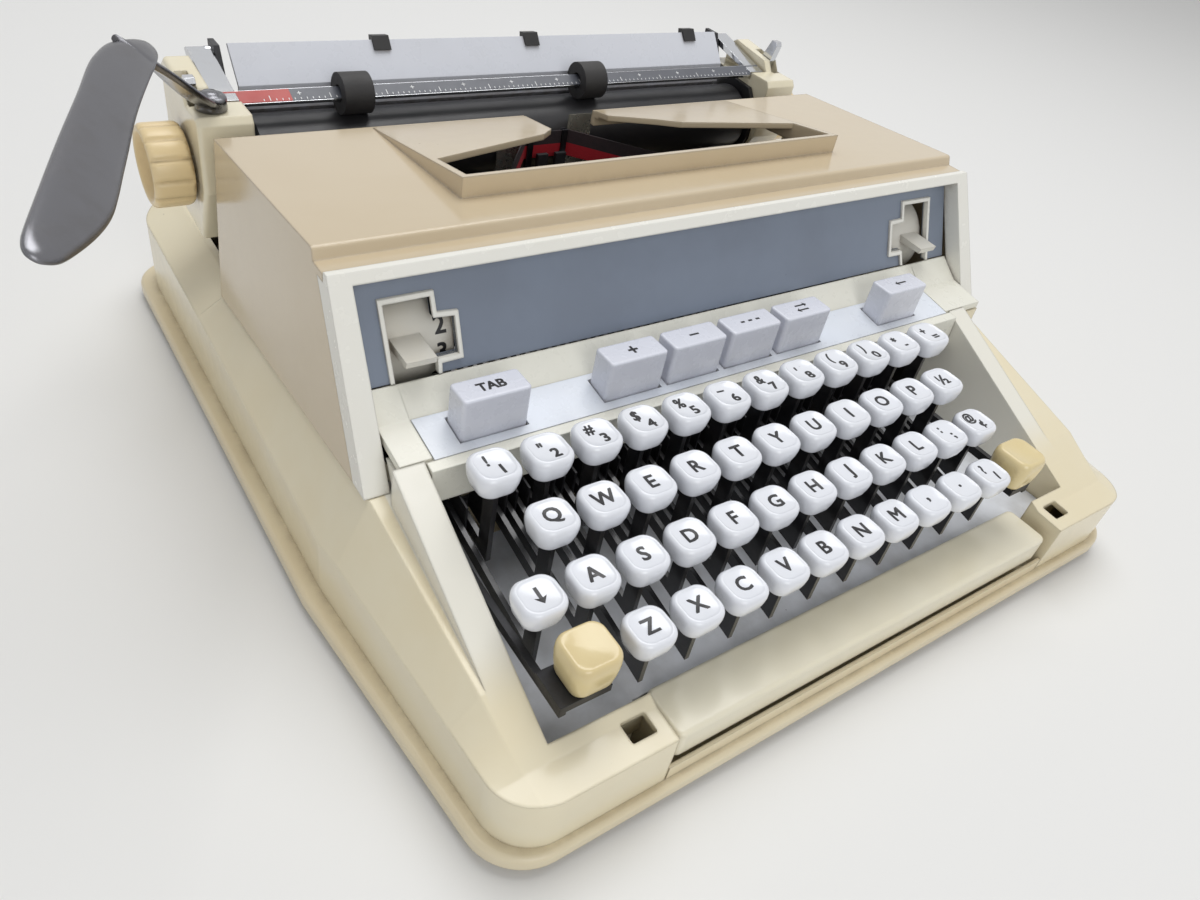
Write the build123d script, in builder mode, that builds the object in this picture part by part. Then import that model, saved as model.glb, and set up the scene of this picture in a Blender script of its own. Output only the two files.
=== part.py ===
from build123d import *
import os
from math import acos, atan2, cos, hypot, radians, sin, sqrt

os.makedirs("parts", exist_ok=True)

# A portable typewriter, in millimetres. +X is to the typist's right, +Y is away from the
# typist and +Z is up. It is drawn about the middle of the base, and each piece is moved as
# it is saved, so that the origin is on the table under the middle of the whole machine,
# return lever included.

# Base rim and case wall, seen in plan
rim_depth = 363.0
rim_half_rear = 178.0
rim_half_front = 165.5
taper_start_y = -58.0
rim_overhang_side = 6.5
rim_overhang_front = 3.2
corner_radius = 18.0
foot_height = 4.0
foot_radius = 9.0
rim_height = 5.5
tray_thickness = 2.0
case_skin = 2.5

# Case heights above the table
shoulder_front_z = 32.0
shoulder_rear_z = 43.4
hood_foot_front_z = 61.5
hood_foot_rear_z = 49.0
rear_deck_z = 50.0

# Keyboard well and the deck around it
well_left = -142.3
well_right = 127.0
well_front_y = -161.5
well_rear_y = -81.0
ridge_left = -153.3
ridge_right = 138.0
ridge_front_z = 36.0
ridge_slope = 0.465
ridge_start_y = -143.0
ridge_rear_y = -76.0
saddle_half = 151.0
flank_front_y = -166.0
flank_front_z = 34.0
flank_front_half = 153.0
flank_middle_half = 155.5
floor_top_z = 24.0
floor_thickness = 1.5
latch_x = 113.8
latch_y = -169.0

# Keys
key_pitch = 19.05
row_depth = 19.05
row_drop = 8.85
number_row_x = -129.4
number_row_y = -96.5
number_row_z = 87.7
row_names = ("number_row", "top_row", "home_row", "bottom_row")
row_counts = (12, 11, 11, 10)
row_offsets = (0.0, 10.7, 14.8, 24.5)
cap_width = 15.4
cap_depth = 15.2
cap_height = 8.8
cap_taper = 1.3
cap_radius = 4.6
dish_radius = 34.0
dish_depth = 0.9
home_row = 2
centre_key = 5
key_travel = 9.5

# Key levers, all hung on one rod under the hood
pivot_y = -8.0
pivot_z = 66.0
pivot_radius = 2.0
lever_thickness = 1.8
lever_depth = 5.0
lever_end_z = 39.0
running_gap = 0.1
stem_depth = 6.0

# Space bar and shift keys
bar_half = 101.2
bar_rear_y = -156.5
bar_front_y = -176.2
bar_top_z = 28.6
bar_bottom_z = 17.0
bar_arm_x = 92.0
bar_pivot_y = -45.0
bar_pivot_z = 16.0
tie_rod_radius = 2.5
shift_width = 17.0
shift_depth = 17.0
shift_height = 14.0
shift_radius = 4.5
shift_top_z = 64.8
shift_left_x = -127.5
shift_right_x = 86.0
shift_arm_left_x = -138.5
shift_arm_right_x = 91.0
shift_pivot_y = -12.0
shift_pivot_z = 48.0
shift_shaft_radius = 3.0
lock_x = -133.7

# Function keys above the number row
function_front_y = -72.7
function_depth = 11.2
function_width = 25.5
function_top_z = 92.5
function_bottom_z = 65.5
function_x = {
    "tab_key": -115.0,
    "tab_set_key": -57.2,
    "tab_clear_key": -28.4,
    "margin_dash_key": 0.4,
    "margin_release_key": 29.2,
    "backspace_key": 91.8,
}
slot_gap = 0.4
plate_rear_y = -58.5
plate_front_y = -76.5
plate_top_z = 78.5
plate_slope = 0.153
plate_sheet = 1.0
deck_sheet = 2.0
deck_rear_y = -48.2
deck_rear_z = 86.0
wing_half = 150.6

# Hood
hood_half_top = 157.7
hood_flare = 2.9
hood_front_y = -24.4
hood_front_z = 126.6
hood_rear_y = 74.4
hood_rear_z = 118.5
hood_skin = 2.6
hood_gap = 0.3
ledge_z = 122.5
frame_top_y = -36.7
frame_top_z = 123.4
frame_foot_y = -71.3
frame_foot_z = 62.5
frame_bar = 4.2
frame_side = 7.5
frame_lip = 2.5
frame_thickness = 8.0
panel_half = 149.9
panel_thickness = 2.0
panel_top_y = -31.2
panel_top_z = 119.4
panel_foot_y = -47.4
panel_foot_z = 85.9
lip_front_y = -4.0
lip_z = 133.0
lip_half = 96.0
lip_wall = 3.0

# Carriage and platen
carriage_travel = 106.0
platen_y = 108.5
platen_z = 94.2
platen_radius = 17.3
platen_half = 134.0
shaft_radius = 4.0
side_plate_x = 137.8
side_plate = 2.4
cover_outer_x = 160.5
cover_top_z = 121.0
knob_radius = 16.6
knob_length = 16.0
knob_gap = 1.0
rail_half = 145.0
rail_front_y = 104.0
rail_rear_y = 117.0
rail_bottom_z = 44.0
rail_top_z = 58.0
rail_gap = 0.4
bail_lead = 3.0
bail_roller_radius = 8.6
bail_roller_length = 13.0
bail_roller_left = -91.0
bail_roller_right = 31.0
bail_width = 7.0
bail_thickness = 1.6
bail_pivot_y = 139.0
bail_pivot_z = 127.0
feed_radius = 7.0
feed_lead = 10.0
contact_gap = 0.3
table_top_y = 133.0
table_top_z = 132.5
table_foot_y = 121.5
table_foot_z = 119.0
pan_radius = 20.5

# Return lever: its hub, the elbow and the tip of its blade
hub_x = -152.5
hub_y = 95.0
hub_radius = 6.0
hub_height = 6.0
elbow = Vector(-185.0, 55.0, 158.0)
blade_tip = Vector(-231.9, -56.0, 150.0)
blade_roll = 40.0
blade_thickness = 3.0

# Type train
print_z = 97.0
segment_y = 64.0
segment_thickness = 11.0
segment_radius = 47.0
segment_inner = 41.0
segment_outer = 56.0
segment_half_angle = 80.0
bars_left = 21
bars_right = 22
typebar_step = 3.55
typebar_thickness = 1.3
typebar_depth = 3.6
typebar_hub = 3.0
head_length = 13.0
head_width = 2.3
head_depth = 2.6
strike_y = 87.8

# Ribbon
spool_x = 79.0
spool_y = 33.0
spool_radius = 21.0
spool_height = 15.0
spool_core = 7.0
spool_pin = 2.5
ribbon_width = 12.7
ribbon_thickness = 0.6
ribbon_print_y = 88.8
ribbon_print_half = 12.0
wound_left = 17.0
wound_right = 12.0
shelf_z = 84.0

# Spring drum that pulls the carriage
drum_x = -95.0
drum_y = 126.0
drum_radius = 17.0
drum_pin = 3.0
drum_bottom_z = 16.0
drum_height = 14.0

# Mechanism frame
frame_plate_x = 145.0
frame_plate = 2.5
frame_foot = 7.0
finger_pivot_y = -21.0
finger_pivot_z = 87.5
finger_width = 11.0
finger_left_x = -132.5
finger_right_x = 127.6
finger_radius = 19.5
finger_left = (-140.6, -114.8)
finger_right = (109.2, 136.9)
finger_rod_past = 0.8

# Values that follow from the sizes above
upright = (Align.CENTER, Align.CENTER, Align.MIN)
rim_front = -rim_depth / 2
rim_rear = rim_depth / 2
rim_top = foot_height + rim_height
tray_top = foot_height + tray_thickness
case_front = rim_front + rim_overhang_front
case_rear = rim_rear - rim_overhang_side
case_half_front = rim_half_front - rim_overhang_side + 2.5
case_half_rear = rim_half_rear - rim_overhang_side
machine_middle = (blade_tip.X + rim_half_rear) / 2
hood_half_foot = hood_half_top + hood_flare
leg_gap = 0.7
ridge_end_y = frame_foot_y - leg_gap
saddle_z = plate_top_z + plate_slope * (ridge_rear_y - plate_rear_y) - plate_sheet - deck_sheet - slot_gap
frame_run = (frame_top_y - frame_foot_y) / (frame_top_z - frame_foot_z)
frame_reach = frame_thickness * sqrt(1 + frame_run**2)
row_y = [number_row_y - row * row_depth for row in range(4)]
row_z = [number_row_z - row * row_drop for row in range(4)]
row_x = [number_row_x + offset for offset in row_offsets]
lever_slope = (pivot_z - lever_end_z) / (pivot_y - row_y[3])
bail_y = platen_y - bail_lead
bail_reach = platen_radius + bail_roller_radius + contact_gap
bail_z = platen_z + sqrt(bail_reach**2 - bail_lead**2)
feed_y = platen_y - feed_lead
feed_z = platen_z - sqrt((platen_radius + feed_radius + contact_gap) ** 2 - feed_lead**2)
typebar_length = hypot(strike_y - segment_y, segment_radius)
strike_angle = atan2(segment_radius, strike_y - segment_y)
spool_bottom_z = print_z - spool_height / 2
post_y = segment_y + segment_thickness / 2 + contact_gap


def save(part, name):
    """Move one piece into the frame of the whole machine and write it under its own name."""
    placed = part.moved(Location((-machine_middle, 0, 0)))
    placed.label = name
    export_step(placed, f"parts/{name}.step")


def block(x_range, y_range, z_range, mode=Mode.ADD):
    """Add or cut a box that spans the three given ranges."""
    middle = [sum(span) / 2 for span in (x_range, y_range, z_range)]
    sizes = [abs(span[1] - span[0]) for span in (x_range, y_range, z_range)]
    with Locations(tuple(middle)):
        Box(*sizes, mode=mode)


def rod(y, z, radius, x_range, mode=Mode.ADD):
    """Add or cut a round rod that lies along X."""
    length = x_range[1] - x_range[0]
    with Locations(Location((x_range[0], y, z), (0, 90, 0))):
        Cylinder(radius, length, align=upright, mode=mode)


def side_face(x, points):
    """Face square to X, with its corners given in Y and Z."""
    with BuildSketch(Plane.YZ.offset(x), mode=Mode.PRIVATE) as face:
        with BuildLine():
            Polyline(*points, close=True)
        make_face()
    return face.sketch


def front_face(y, points):
    """Face square to Y, with its corners given in X and Z."""
    with BuildSketch(Plane.XZ.offset(-y), mode=Mode.PRIVATE) as face:
        with BuildLine():
            Polyline(*points, close=True)
        make_face()
    return face.sketch


def plan_face(z, points):
    """Level face, with its corners given in X and Y."""
    with BuildSketch(Plane.XY.offset(z), mode=Mode.PRIVATE) as face:
        with BuildLine():
            Polyline(*points, close=True)
        make_face()
    return face.sketch


def outline(front, rear, half_front, half_rear, radius):
    """Plan of the case: parallel sides at the back that draw in towards the front."""
    with BuildSketch(mode=Mode.PRIVATE) as plan:
        with BuildLine():
            Polyline(
                (-half_front, front), (half_front, front), (half_rear, taper_start_y),
                (half_rear, rear), (-half_rear, rear), (-half_rear, taper_start_y),
                close=True,
            )
        make_face()
        ends = plan.vertices().filter_by(lambda v: abs(v.Y - taper_start_y) > 1)
        fillet(ends, radius)
    return plan.sketch


def case_plan(inset):
    """Plan of the case wall, moved inwards by the inset."""
    return outline(
        case_front + inset, case_rear - inset,
        case_half_front - inset, case_half_rear - inset, corner_radius - inset,
    )


def shoulder_z(y):
    """Height of the edge between the upright wall and the sloping flank."""
    rise = (shoulder_rear_z - shoulder_front_z) / (case_rear - case_front)
    return shoulder_front_z + rise * (y - case_front)


def case_half(y):
    """Half width of the case wall at a place along its depth."""
    along = (y - case_front) / (taper_start_y - case_front)
    return case_half_front + (case_half_rear - case_half_front) * min(1.0, along)


def case_section(y, crease, crease_z, drop):
    """Cross-section of the case: wall, sloping flanks and a flat top between two creases."""
    reach = 5.0
    half = case_half(y)
    edge_z = shoulder_z(y) - (crease_z - shoulder_z(y)) / (half - crease) * reach
    return front_face(y, (
        (-half - reach, 0), (half + reach, 0), (half + reach, edge_z - drop),
        (crease, crease_z - drop), (-crease, crease_z - drop), (-half - reach, edge_z - drop),
    ))


def ridge_z(y):
    """Height of the top of the ridges beside the keyboard."""
    return ridge_front_z + ridge_slope * (y - well_front_y)


def leg_front_y(z):
    """Where the case has to stop in front of the leaning legs of the hood."""
    return frame_foot_y + frame_run * (z - frame_foot_z) - leg_gap


def ridge_form(outer_x, well_x, inset):
    """One ridge beside the keys, with the saddle behind it that the deck lies on."""
    side = 1 if outer_x > 0 else -1
    inner_x = well_x - side * 5.0
    low_z = shoulder_front_z
    ridge_side = (
        (ridge_start_y, ridge_z(ridge_start_y) - inset),
        (ridge_rear_y - inset, ridge_z(ridge_rear_y - inset) - inset),
        (ridge_rear_y - inset, low_z), (ridge_start_y + 20.0, low_z),
    )
    saddle_side = (
        (ridge_rear_y, saddle_z), (leg_front_y(saddle_z), saddle_z),
        (leg_front_y(hood_foot_front_z), hood_foot_front_z),
        (leg_front_y(hood_foot_front_z), hood_foot_front_z - case_skin),
        (ridge_rear_y, hood_foot_front_z - 2 * case_skin),
    )
    with BuildPart(mode=Mode.PRIVATE) as ridge:
        near, far = sorted((inner_x, outer_x - side * inset))
        extrude(side_face(near, ridge_side), amount=far - near)
        if inset == 0:
            near, far = sorted((inner_x, side * saddle_half))
            extrude(side_face(near, saddle_side), amount=far - near)
    return ridge.part


def case_form(inset):
    """Outside form of the case, or the same form moved in by a wall thickness."""
    past = 8.0
    hood_side = hood_half_foot - 1.5
    deck_side = hood_side - 4.0
    flank = (
        (case_front - past, flank_front_half - 1.0, flank_front_z - 1.0),
        (flank_front_y, flank_front_half, flank_front_z),
        (ridge_start_y, flank_middle_half, ridge_z(ridge_start_y)),
        (ridge_end_y, hood_side, hood_foot_front_z),
        (hood_rear_y + 4, hood_side, hood_foot_rear_z),
    )
    rear_deck = (
        (hood_rear_y + 4, deck_side, rear_deck_z), (case_rear + past, deck_side, rear_deck_z),
    )
    with BuildPart() as form:
        for near, far in (*zip(flank, flank[1:]), rear_deck):
            loft([case_section(*near, inset), case_section(*far, inset)], ruled=True)
        add(ridge_form(ridge_left, well_left, inset))
        add(ridge_form(ridge_right, well_right, inset))
        extrude(case_plan(inset), amount=hood_front_z, mode=Mode.INTERSECT)
    return form.part


# Base tray: a flat pan whose rim stands out past the case all round
tray_hole = 2.2
screw_x = 138.5
screw_rows = (-38.0, 132.0)
screw_places = [(x, y) for x in (-screw_x, screw_x) for y in screw_rows]
strip_rear_y = bar_front_y - 0.7
with BuildPart() as base_tray:
    extrude(
        outline(rim_front, rim_rear, rim_half_front, rim_half_rear, corner_radius + 3)
        .moved(Location((0, 0, foot_height))),
        amount=rim_height,
    )
    fillet(base_tray.edges().group_by(Axis.Z)[-1], 1.8)
    extrude(
        case_plan(case_skin + 1.0).moved(Location((0, 0, tray_top))),
        amount=rim_height, mode=Mode.SUBTRACT,
    )
    block(
        (-bar_half - 2.5, bar_half + 2.5), (case_front, strip_rear_y),
        (foot_height, bar_bottom_z - 1.2),
    )
    with Locations((drum_x, drum_y, foot_height)):
        Cylinder(5.0, drum_bottom_z - foot_height - contact_gap, align=upright)
        Cylinder(drum_pin, drum_bottom_z + drum_height + 1 - foot_height, align=upright)
    with Locations(*[(x, y, foot_height) for x, y in screw_places]):
        Cylinder(tray_hole, 3 * tray_thickness, mode=Mode.SUBTRACT)
save(base_tray.part, "base_tray")

# Feet: four soft round pads
foot_places = [
    (side * (half - 26), y)
    for half, y in ((rim_half_front, rim_front + 27), (rim_half_rear, rim_rear - 27))
    for side in (-1, 1)
]
with BuildPart() as rubber_feet:
    with BuildSketch():
        with Locations(*foot_places):
            Circle(foot_radius)
    extrude(amount=foot_height)
    chamfer(rubber_feet.edges().group_by(Axis.Z)[0], 0.8)
save(rubber_feet.part, "rubber_feet")

# Screws that hold the tray up against the feet of the mechanism frame
screw_head = 2.2
screw_shank = 1.6
screw_length = 4.0
with BuildPart() as base_screws:
    with Locations(*[(x, y, foot_height) for x, y in screw_places]):
        Cylinder(4.0, screw_head, align=(Align.CENTER, Align.CENTER, Align.MAX))
        Cylinder(screw_shank, screw_length, align=upright)
    with Locations(*[(x, y, foot_height - screw_head) for x, y in screw_places]):
        Box(6.0, 1.0, 1.8, mode=Mode.SUBTRACT)
save(base_screws.part, "base_screws")

# Lower case: wall, flanks, deck and the ridges beside the keyboard
bay_half = frame_plate_x + frame_plate + 4.2
bay_rear_y = 147.0
notch_half_x = bar_half + 3.3
skirt = 2.0
skirt_bottom_z = floor_top_z - floor_thickness - 3.0
outer_case = case_form(0)
inner_case = case_form(case_skin)
with BuildPart() as well_skirt:
    block(
        (well_left - skirt, well_right + skirt), (well_front_y - skirt, ridge_end_y),
        (skirt_bottom_z, hood_front_z),
    )
    block(
        (-notch_half_x - skirt, notch_half_x + skirt), (case_front, well_front_y),
        (rim_top, hood_front_z),
    )
    add(outer_case, mode=Mode.INTERSECT)
with BuildPart() as body_shell:
    add(outer_case)
    add(inner_case, mode=Mode.SUBTRACT)
    add(well_skirt.part)
    block((well_left, well_right), (well_front_y, -60.0), (0, hood_front_z), Mode.SUBTRACT)
    block((-bay_half, bay_half), (-66.0, bay_rear_y), (0, hood_front_z), Mode.SUBTRACT)
    block(
        (-notch_half_x, notch_half_x), (rim_front, bar_rear_y - 1.0),
        (0, hood_front_z), Mode.SUBTRACT,
    )
    with BuildSketch():
        with Locations((-latch_x, latch_y), (latch_x, latch_y)):
            RectangleRounded(9.5, 7.5, 0.8)
    extrude(amount=hood_front_z, mode=Mode.SUBTRACT)
    split(bisect_by=Plane.XY.offset(rim_top), keep=Keep.TOP)
save(body_shell.part, "body_shell")

# Floor of the well, seen as a grey sheet between the keys
with BuildPart() as well_floor:
    block(
        (well_left + slot_gap, well_right - slot_gap),
        (well_front_y + slot_gap, well_rear_y + 10.0),
        (floor_top_z - floor_thickness, floor_top_z),
    )
    block(
        (-notch_half_x, notch_half_x), (well_front_y, bar_rear_y + 1.0),
        (0, floor_top_z), Mode.SUBTRACT,
    )
    for post_x in (well_left + 6.0, well_right - 6.0):
        for floor_y in (well_front_y + 20.0, well_rear_y):
            block(
                (post_x - 3.0, post_x + 3.0), (floor_y - 3.0, floor_y + 3.0),
                (tray_top, floor_top_z - floor_thickness),
            )
save(well_floor.part, "well_floor")


def deck_z(y):
    """Height of the white plate round the function keys."""
    return plate_top_z + plate_slope * (y - plate_rear_y)


def function_slots():
    """Faces of the holes that the function keys slide in."""
    with BuildSketch(mode=Mode.PRIVATE) as holes:
        with Locations(*[(x, function_front_y + function_depth / 2) for x in function_x.values()]):
            Rectangle(function_width + 2 * slot_gap, function_depth + 2 * slot_gap)
    return holes.sketch


# Keyboard deck: a bent sheet behind the number row, with an apron at its front edge
deck_left = well_left + slot_gap
deck_right = well_right - slot_gap
plate_left = deck_left + 3.0
plate_right = deck_right - 2.5
apron_bottom_z = 62.0
wing_front_edge_y = ridge_rear_y + slot_gap
with BuildPart() as keyboard_deck:
    extrude(side_face(deck_left, (
        (deck_rear_y, deck_rear_z), (plate_rear_y, deck_z(plate_rear_y) - plate_sheet),
        (plate_front_y, deck_z(plate_front_y) - plate_sheet),
        (plate_front_y - 0.4, deck_z(plate_front_y)),
        (well_rear_y, deck_z(well_rear_y)), (well_rear_y - 0.8, apron_bottom_z),
        (well_rear_y + deck_sheet - 0.8, apron_bottom_z),
        (well_rear_y + deck_sheet, deck_z(well_rear_y) - deck_sheet),
        (plate_front_y + 1.0, deck_z(plate_front_y) - plate_sheet - deck_sheet),
        (plate_rear_y + 1.0, deck_z(plate_rear_y) - plate_sheet - deck_sheet),
        (deck_rear_y, deck_rear_z - 2 * deck_sheet),
    )), amount=deck_right - deck_left)
    for near, far in ((-wing_half, plate_left - slot_gap), (plate_right + slot_gap, wing_half)):
        extrude(side_face(near, (
            (wing_front_edge_y, deck_z(wing_front_edge_y)), (plate_rear_y, deck_z(plate_rear_y)),
            (deck_rear_y, deck_rear_z), (deck_rear_y, deck_rear_z - 2 * deck_sheet),
            (plate_rear_y + 1.0, deck_z(plate_rear_y) - plate_sheet - deck_sheet),
            (wing_front_edge_y, deck_z(wing_front_edge_y) - plate_sheet - deck_sheet),
        )), amount=far - near)
    extrude(function_slots(), amount=hood_front_z, mode=Mode.SUBTRACT)
save(keyboard_deck.part, "keyboard_deck")

# White plate on the deck, round the function keys
with BuildPart() as function_key_plate:
    extrude(side_face(plate_left, (
        (plate_rear_y, deck_z(plate_rear_y) - plate_sheet), (plate_rear_y, deck_z(plate_rear_y)),
        (plate_front_y, deck_z(plate_front_y)),
        (plate_front_y, deck_z(plate_front_y) - plate_sheet),
    )), amount=plate_right - plate_left)
    extrude(function_slots(), amount=hood_front_z, mode=Mode.SUBTRACT)
save(function_key_plate.part, "function_key_plate")

# Function keys: tall blocks that slide in the deck, kept in by a flange below it
flange_top_z = deck_z(function_front_y) - plate_sheet - deck_sheet - slot_gap
for name, x in function_x.items():
    with BuildPart() as function_key:
        half = function_width / 2
        rear_y = function_front_y + function_depth
        block((x - half, x + half), (function_front_y, rear_y), (function_bottom_z, function_top_z))
        fillet(function_key.edges().filter_by(Axis.Z), 1.6)
        fillet(function_key.edges().group_by(Axis.Z)[-1], 0.9)
        block(
            (x - half - 1.2, x + half + 1.2), (function_front_y - 1.2, rear_y + 1.2),
            (flange_top_z - 2.5, flange_top_z),
        )
    save(function_key.part, name)


def hood_form(skin):
    """Hood without its raised opening, or the hollow inside it for a given skin."""
    front_y = hood_front_y + skin
    rear_y = hood_rear_y - skin
    top_front_z = hood_front_z - skin
    top_rear_z = hood_rear_z - skin
    ledge_under_z = ledge_z - hood_skin
    ledge_front_y = frame_top_y + frame_lip + hood_gap
    seat_y = frame_top_y + frame_run * (ledge_under_z - frame_top_z) + frame_reach
    foot_z = hood_foot_front_z + hood_gap
    foot_y = frame_foot_y + frame_reach + frame_run * (foot_z - frame_foot_z)
    open_y = frame_foot_y - 2 * frame_thickness
    lower = 20.0
    tilt = (hood_half_foot - hood_half_top) / (hood_front_z - frame_foot_z)
    top = ((front_y - 1.6, ledge_z - skin), (front_y, top_front_z), (rear_y, top_rear_z))
    if skin:
        shape = (
            (open_y, ledge_z - skin), *top,
            (rear_y + 3.0, hood_foot_rear_z - lower), (open_y, foot_z - lower),
        )
    else:
        shape = (
            (ledge_front_y, ledge_under_z), (ledge_front_y, ledge_z), *top,
            (rear_y + 3.0, hood_foot_rear_z + hood_gap), (foot_y, foot_z), (seat_y, ledge_under_z),
        )
    with BuildPart() as form:
        extrude(side_face(-hood_half_foot - 1, shape), amount=2 * hood_half_foot + 2)
        half_top = hood_half_top - skin
        half_low = half_top + tilt * hood_front_z
        extrude(front_face(hood_rear_y + 10, (
            (-half_top, hood_front_z), (half_top, hood_front_z), (half_low, 0), (-half_low, 0),
        )), amount=hood_rear_y + 110, mode=Mode.INTERSECT)
    return form.part


def lip_top(y):
    """Height of the raised surface round the ribbon opening."""
    return lip_z - (y - lip_front_y) * (lip_z - hood_rear_z) / (hood_rear_y + 1.0 - lip_front_y)


# Hood: thin cover with a raised opening over the ribbon and the type
wing_front_y = 21.0
lip_rear_y = hood_rear_y - 2.0
throat_rear_y = hood_rear_y + 10.0
opening_front_y = lip_front_y + lip_wall
opening_half = lip_half - lip_wall
with BuildPart() as hood:
    add(hood_form(0))
    fillet(hood.edges().group_by(Axis.Z)[-1], 1.6)
    extrude(side_face(-lip_half, (
        (lip_front_y, hood_rear_z), (lip_front_y, lip_z), (lip_rear_y, lip_top(lip_rear_y)),
        (lip_rear_y, hood_rear_z - 3),
    )), amount=2 * lip_half)
    add(hood_form(hood_skin), mode=Mode.SUBTRACT)
    extrude(side_face(-opening_half, (
        (opening_front_y, 0), (opening_front_y, lip_top(opening_front_y) - hood_skin),
        (lip_rear_y - lip_wall, lip_top(lip_rear_y - lip_wall) - hood_skin), (lip_rear_y - lip_wall, 0),
    )), amount=2 * opening_half, mode=Mode.SUBTRACT)
    with BuildSketch():
        with BuildLine():
            Polyline(
                (-23, throat_rear_y), (14, throat_rear_y), (14, 62), (31, 49), (40, 40),
                (opening_half, wing_front_y), (opening_half, opening_front_y),
                (-opening_half, opening_front_y), (-opening_half, wing_front_y), (-34, 41),
                (-26, 48),
            )
            Line((-26, 48), (-23, throat_rear_y))
        make_face()
    extrude(amount=lip_z, mode=Mode.SUBTRACT)
    block((-150, 150), (hood_rear_y - 6, hood_rear_y + 6), (0, 112), Mode.SUBTRACT)
save(hood.part, "hood")


def leaning_face(x, inner, outer, top_z, foot_z):
    """Side face of a bar between two depths behind the hood's leaning front."""
    run = sqrt(1 + frame_run**2)
    high_y = frame_top_y + frame_run * (top_z - frame_top_z)
    low_y = frame_top_y + frame_run * (foot_z - frame_top_z)
    return side_face(x, (
        (high_y + outer * run, top_z), (high_y + inner * run, top_z),
        (low_y + inner * run, foot_z), (low_y + outer * run, foot_z),
    ))


# Front frame of the hood: a top bar with a small lip, and two legs down to the case
frame_bottom_z = hood_foot_front_z + hood_gap
bar_foot_z = frame_top_z - frame_bar * cos(atan2(frame_run, 1))
with BuildPart() as hood_frame:
    extrude(
        leaning_face(-hood_half_foot - 1, 0, frame_thickness, frame_top_z, frame_bottom_z),
        amount=2 * hood_half_foot + 2,
    )
    tilt = (hood_half_foot - hood_half_top) / (hood_front_z - frame_foot_z)
    high_half = hood_half_top + tilt * (hood_front_z - frame_top_z)
    extrude(front_face(hood_rear_y, (
        (-high_half, frame_top_z), (high_half, frame_top_z),
        (hood_half_foot, frame_bottom_z), (-hood_half_foot, frame_bottom_z),
    )), amount=hood_rear_y + 90, mode=Mode.INTERSECT)
    extrude(front_face(hood_rear_y, (
        (-high_half + frame_side, bar_foot_z), (high_half - frame_side, bar_foot_z),
        (hood_half_foot - frame_side, 0), (frame_side - hood_half_foot, 0),
    )), amount=hood_rear_y + 90, mode=Mode.SUBTRACT)
    for half, low_z in (
        (hood_half_foot, ledge_z - hood_skin), (high_half - frame_side, bar_foot_z - 1.0),
    ):
        block((-half, half), (frame_top_y + frame_lip, 0), (low_z, hood_front_z), Mode.SUBTRACT)
save(hood_frame.part, "hood_frame")

# Recessed front panel with two stepped slots for the finger levers
panel_run = (panel_top_y - panel_foot_y) / (panel_top_z - panel_foot_z)
below = -2.0
left_slot = (
    (-140.0, panel_foot_z + below), (-140.0, 109.7), (-123.2, 109.8), (-123.2, 103.3),
    (-115.4, 102.8), (-115.7, 91.0), (-123.8, 90.8), (-124.2, panel_foot_z + below),
)
right_slot = (
    (118.2, panel_foot_z + below), (117.6, 92.4), (109.8, 92.5), (110.6, 104.1),
    (118.7, 104.3), (119.0, 111.2), (136.3, 111.1), (135.4, panel_foot_z + below),
)
with BuildPart() as name_panel:
    extrude(side_face(-panel_half, (
        (panel_top_y, panel_top_z), (panel_foot_y, panel_foot_z),
        (panel_foot_y + panel_thickness, panel_foot_z),
        (panel_top_y + panel_thickness, panel_top_z),
    )), amount=2 * panel_half)
    for slot in (left_slot, right_slot):
        extrude(front_face(0, slot), amount=80, mode=Mode.SUBTRACT)
save(name_panel.part, "name_panel")


# Mechanism frame: two side plates, tie rods, spool shelves and the post behind the type
plate_profile = (
    (-58, tray_top), (142, tray_top), (142, 50), (85, 50), (80, 70), (50, 70), (50, shelf_z),
    (10, shelf_z), (10, 72), (-10, 72), (-13, 93), (-29, 93), (-33, 60), (-58, 50),
)
shelf_inner_x = 58.0
shelf_thickness = 2.0
post_half = 18.0
post_top_z = 46.0
with BuildPart() as mechanism_frame:
    for left in (-frame_plate_x - frame_plate, frame_plate_x):
        extrude(side_face(left, plate_profile), amount=frame_plate)
    for side in (-1, 1):
        inner = side * frame_plate_x
        for y in screw_rows:
            block(
                (inner, inner - side * 2 * frame_foot), (y - frame_foot, y + frame_foot),
                (tray_top, tray_top + frame_plate),
            )
        outer = side * (frame_plate_x + frame_plate)
        block((outer, side * shelf_inner_x), (11, 55), (shelf_z, shelf_z + shelf_thickness))
        with Locations((side * spool_x, spool_y, shelf_z)):
            Cylinder(5.0, spool_bottom_z - shelf_z - contact_gap, align=upright)
            Cylinder(spool_pin, 22.0, align=upright)
    for span in (
        (-frame_plate_x, finger_left[1] + finger_rod_past),
        (finger_right[0] - finger_rod_past, frame_plate_x),
    ):
        rod(finger_pivot_y, finger_pivot_z, pivot_radius, span)
    rod(bar_pivot_y, bar_pivot_z, tie_rod_radius, (-frame_plate_x, frame_plate_x))
    block((-frame_plate_x, frame_plate_x), (post_y, post_y + frame_plate), (24.0, post_top_z))
    for side in (-1, 1):
        rod(shift_pivot_y, shift_pivot_z, shift_shaft_radius + running_gap,
            (side * frame_plate_x - 3, side * frame_plate_x + 3), Mode.SUBTRACT)
    with Locations(*[(x, y, tray_top) for x, y in screw_places]):
        Cylinder(screw_shank + 0.1, 3 * frame_plate, mode=Mode.SUBTRACT)
save(mechanism_frame.part, "mechanism_frame")

# Rod that every key lever turns on
with BuildPart() as key_pivot_rod:
    rod(pivot_y, pivot_z, pivot_radius, (-frame_plate_x, frame_plate_x))
save(key_pivot_rod.part, "key_pivot_rod")


def lever_z(y):
    """Height of the middle of a key lever at rest."""
    return pivot_z - lever_slope * (pivot_y - y)


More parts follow.
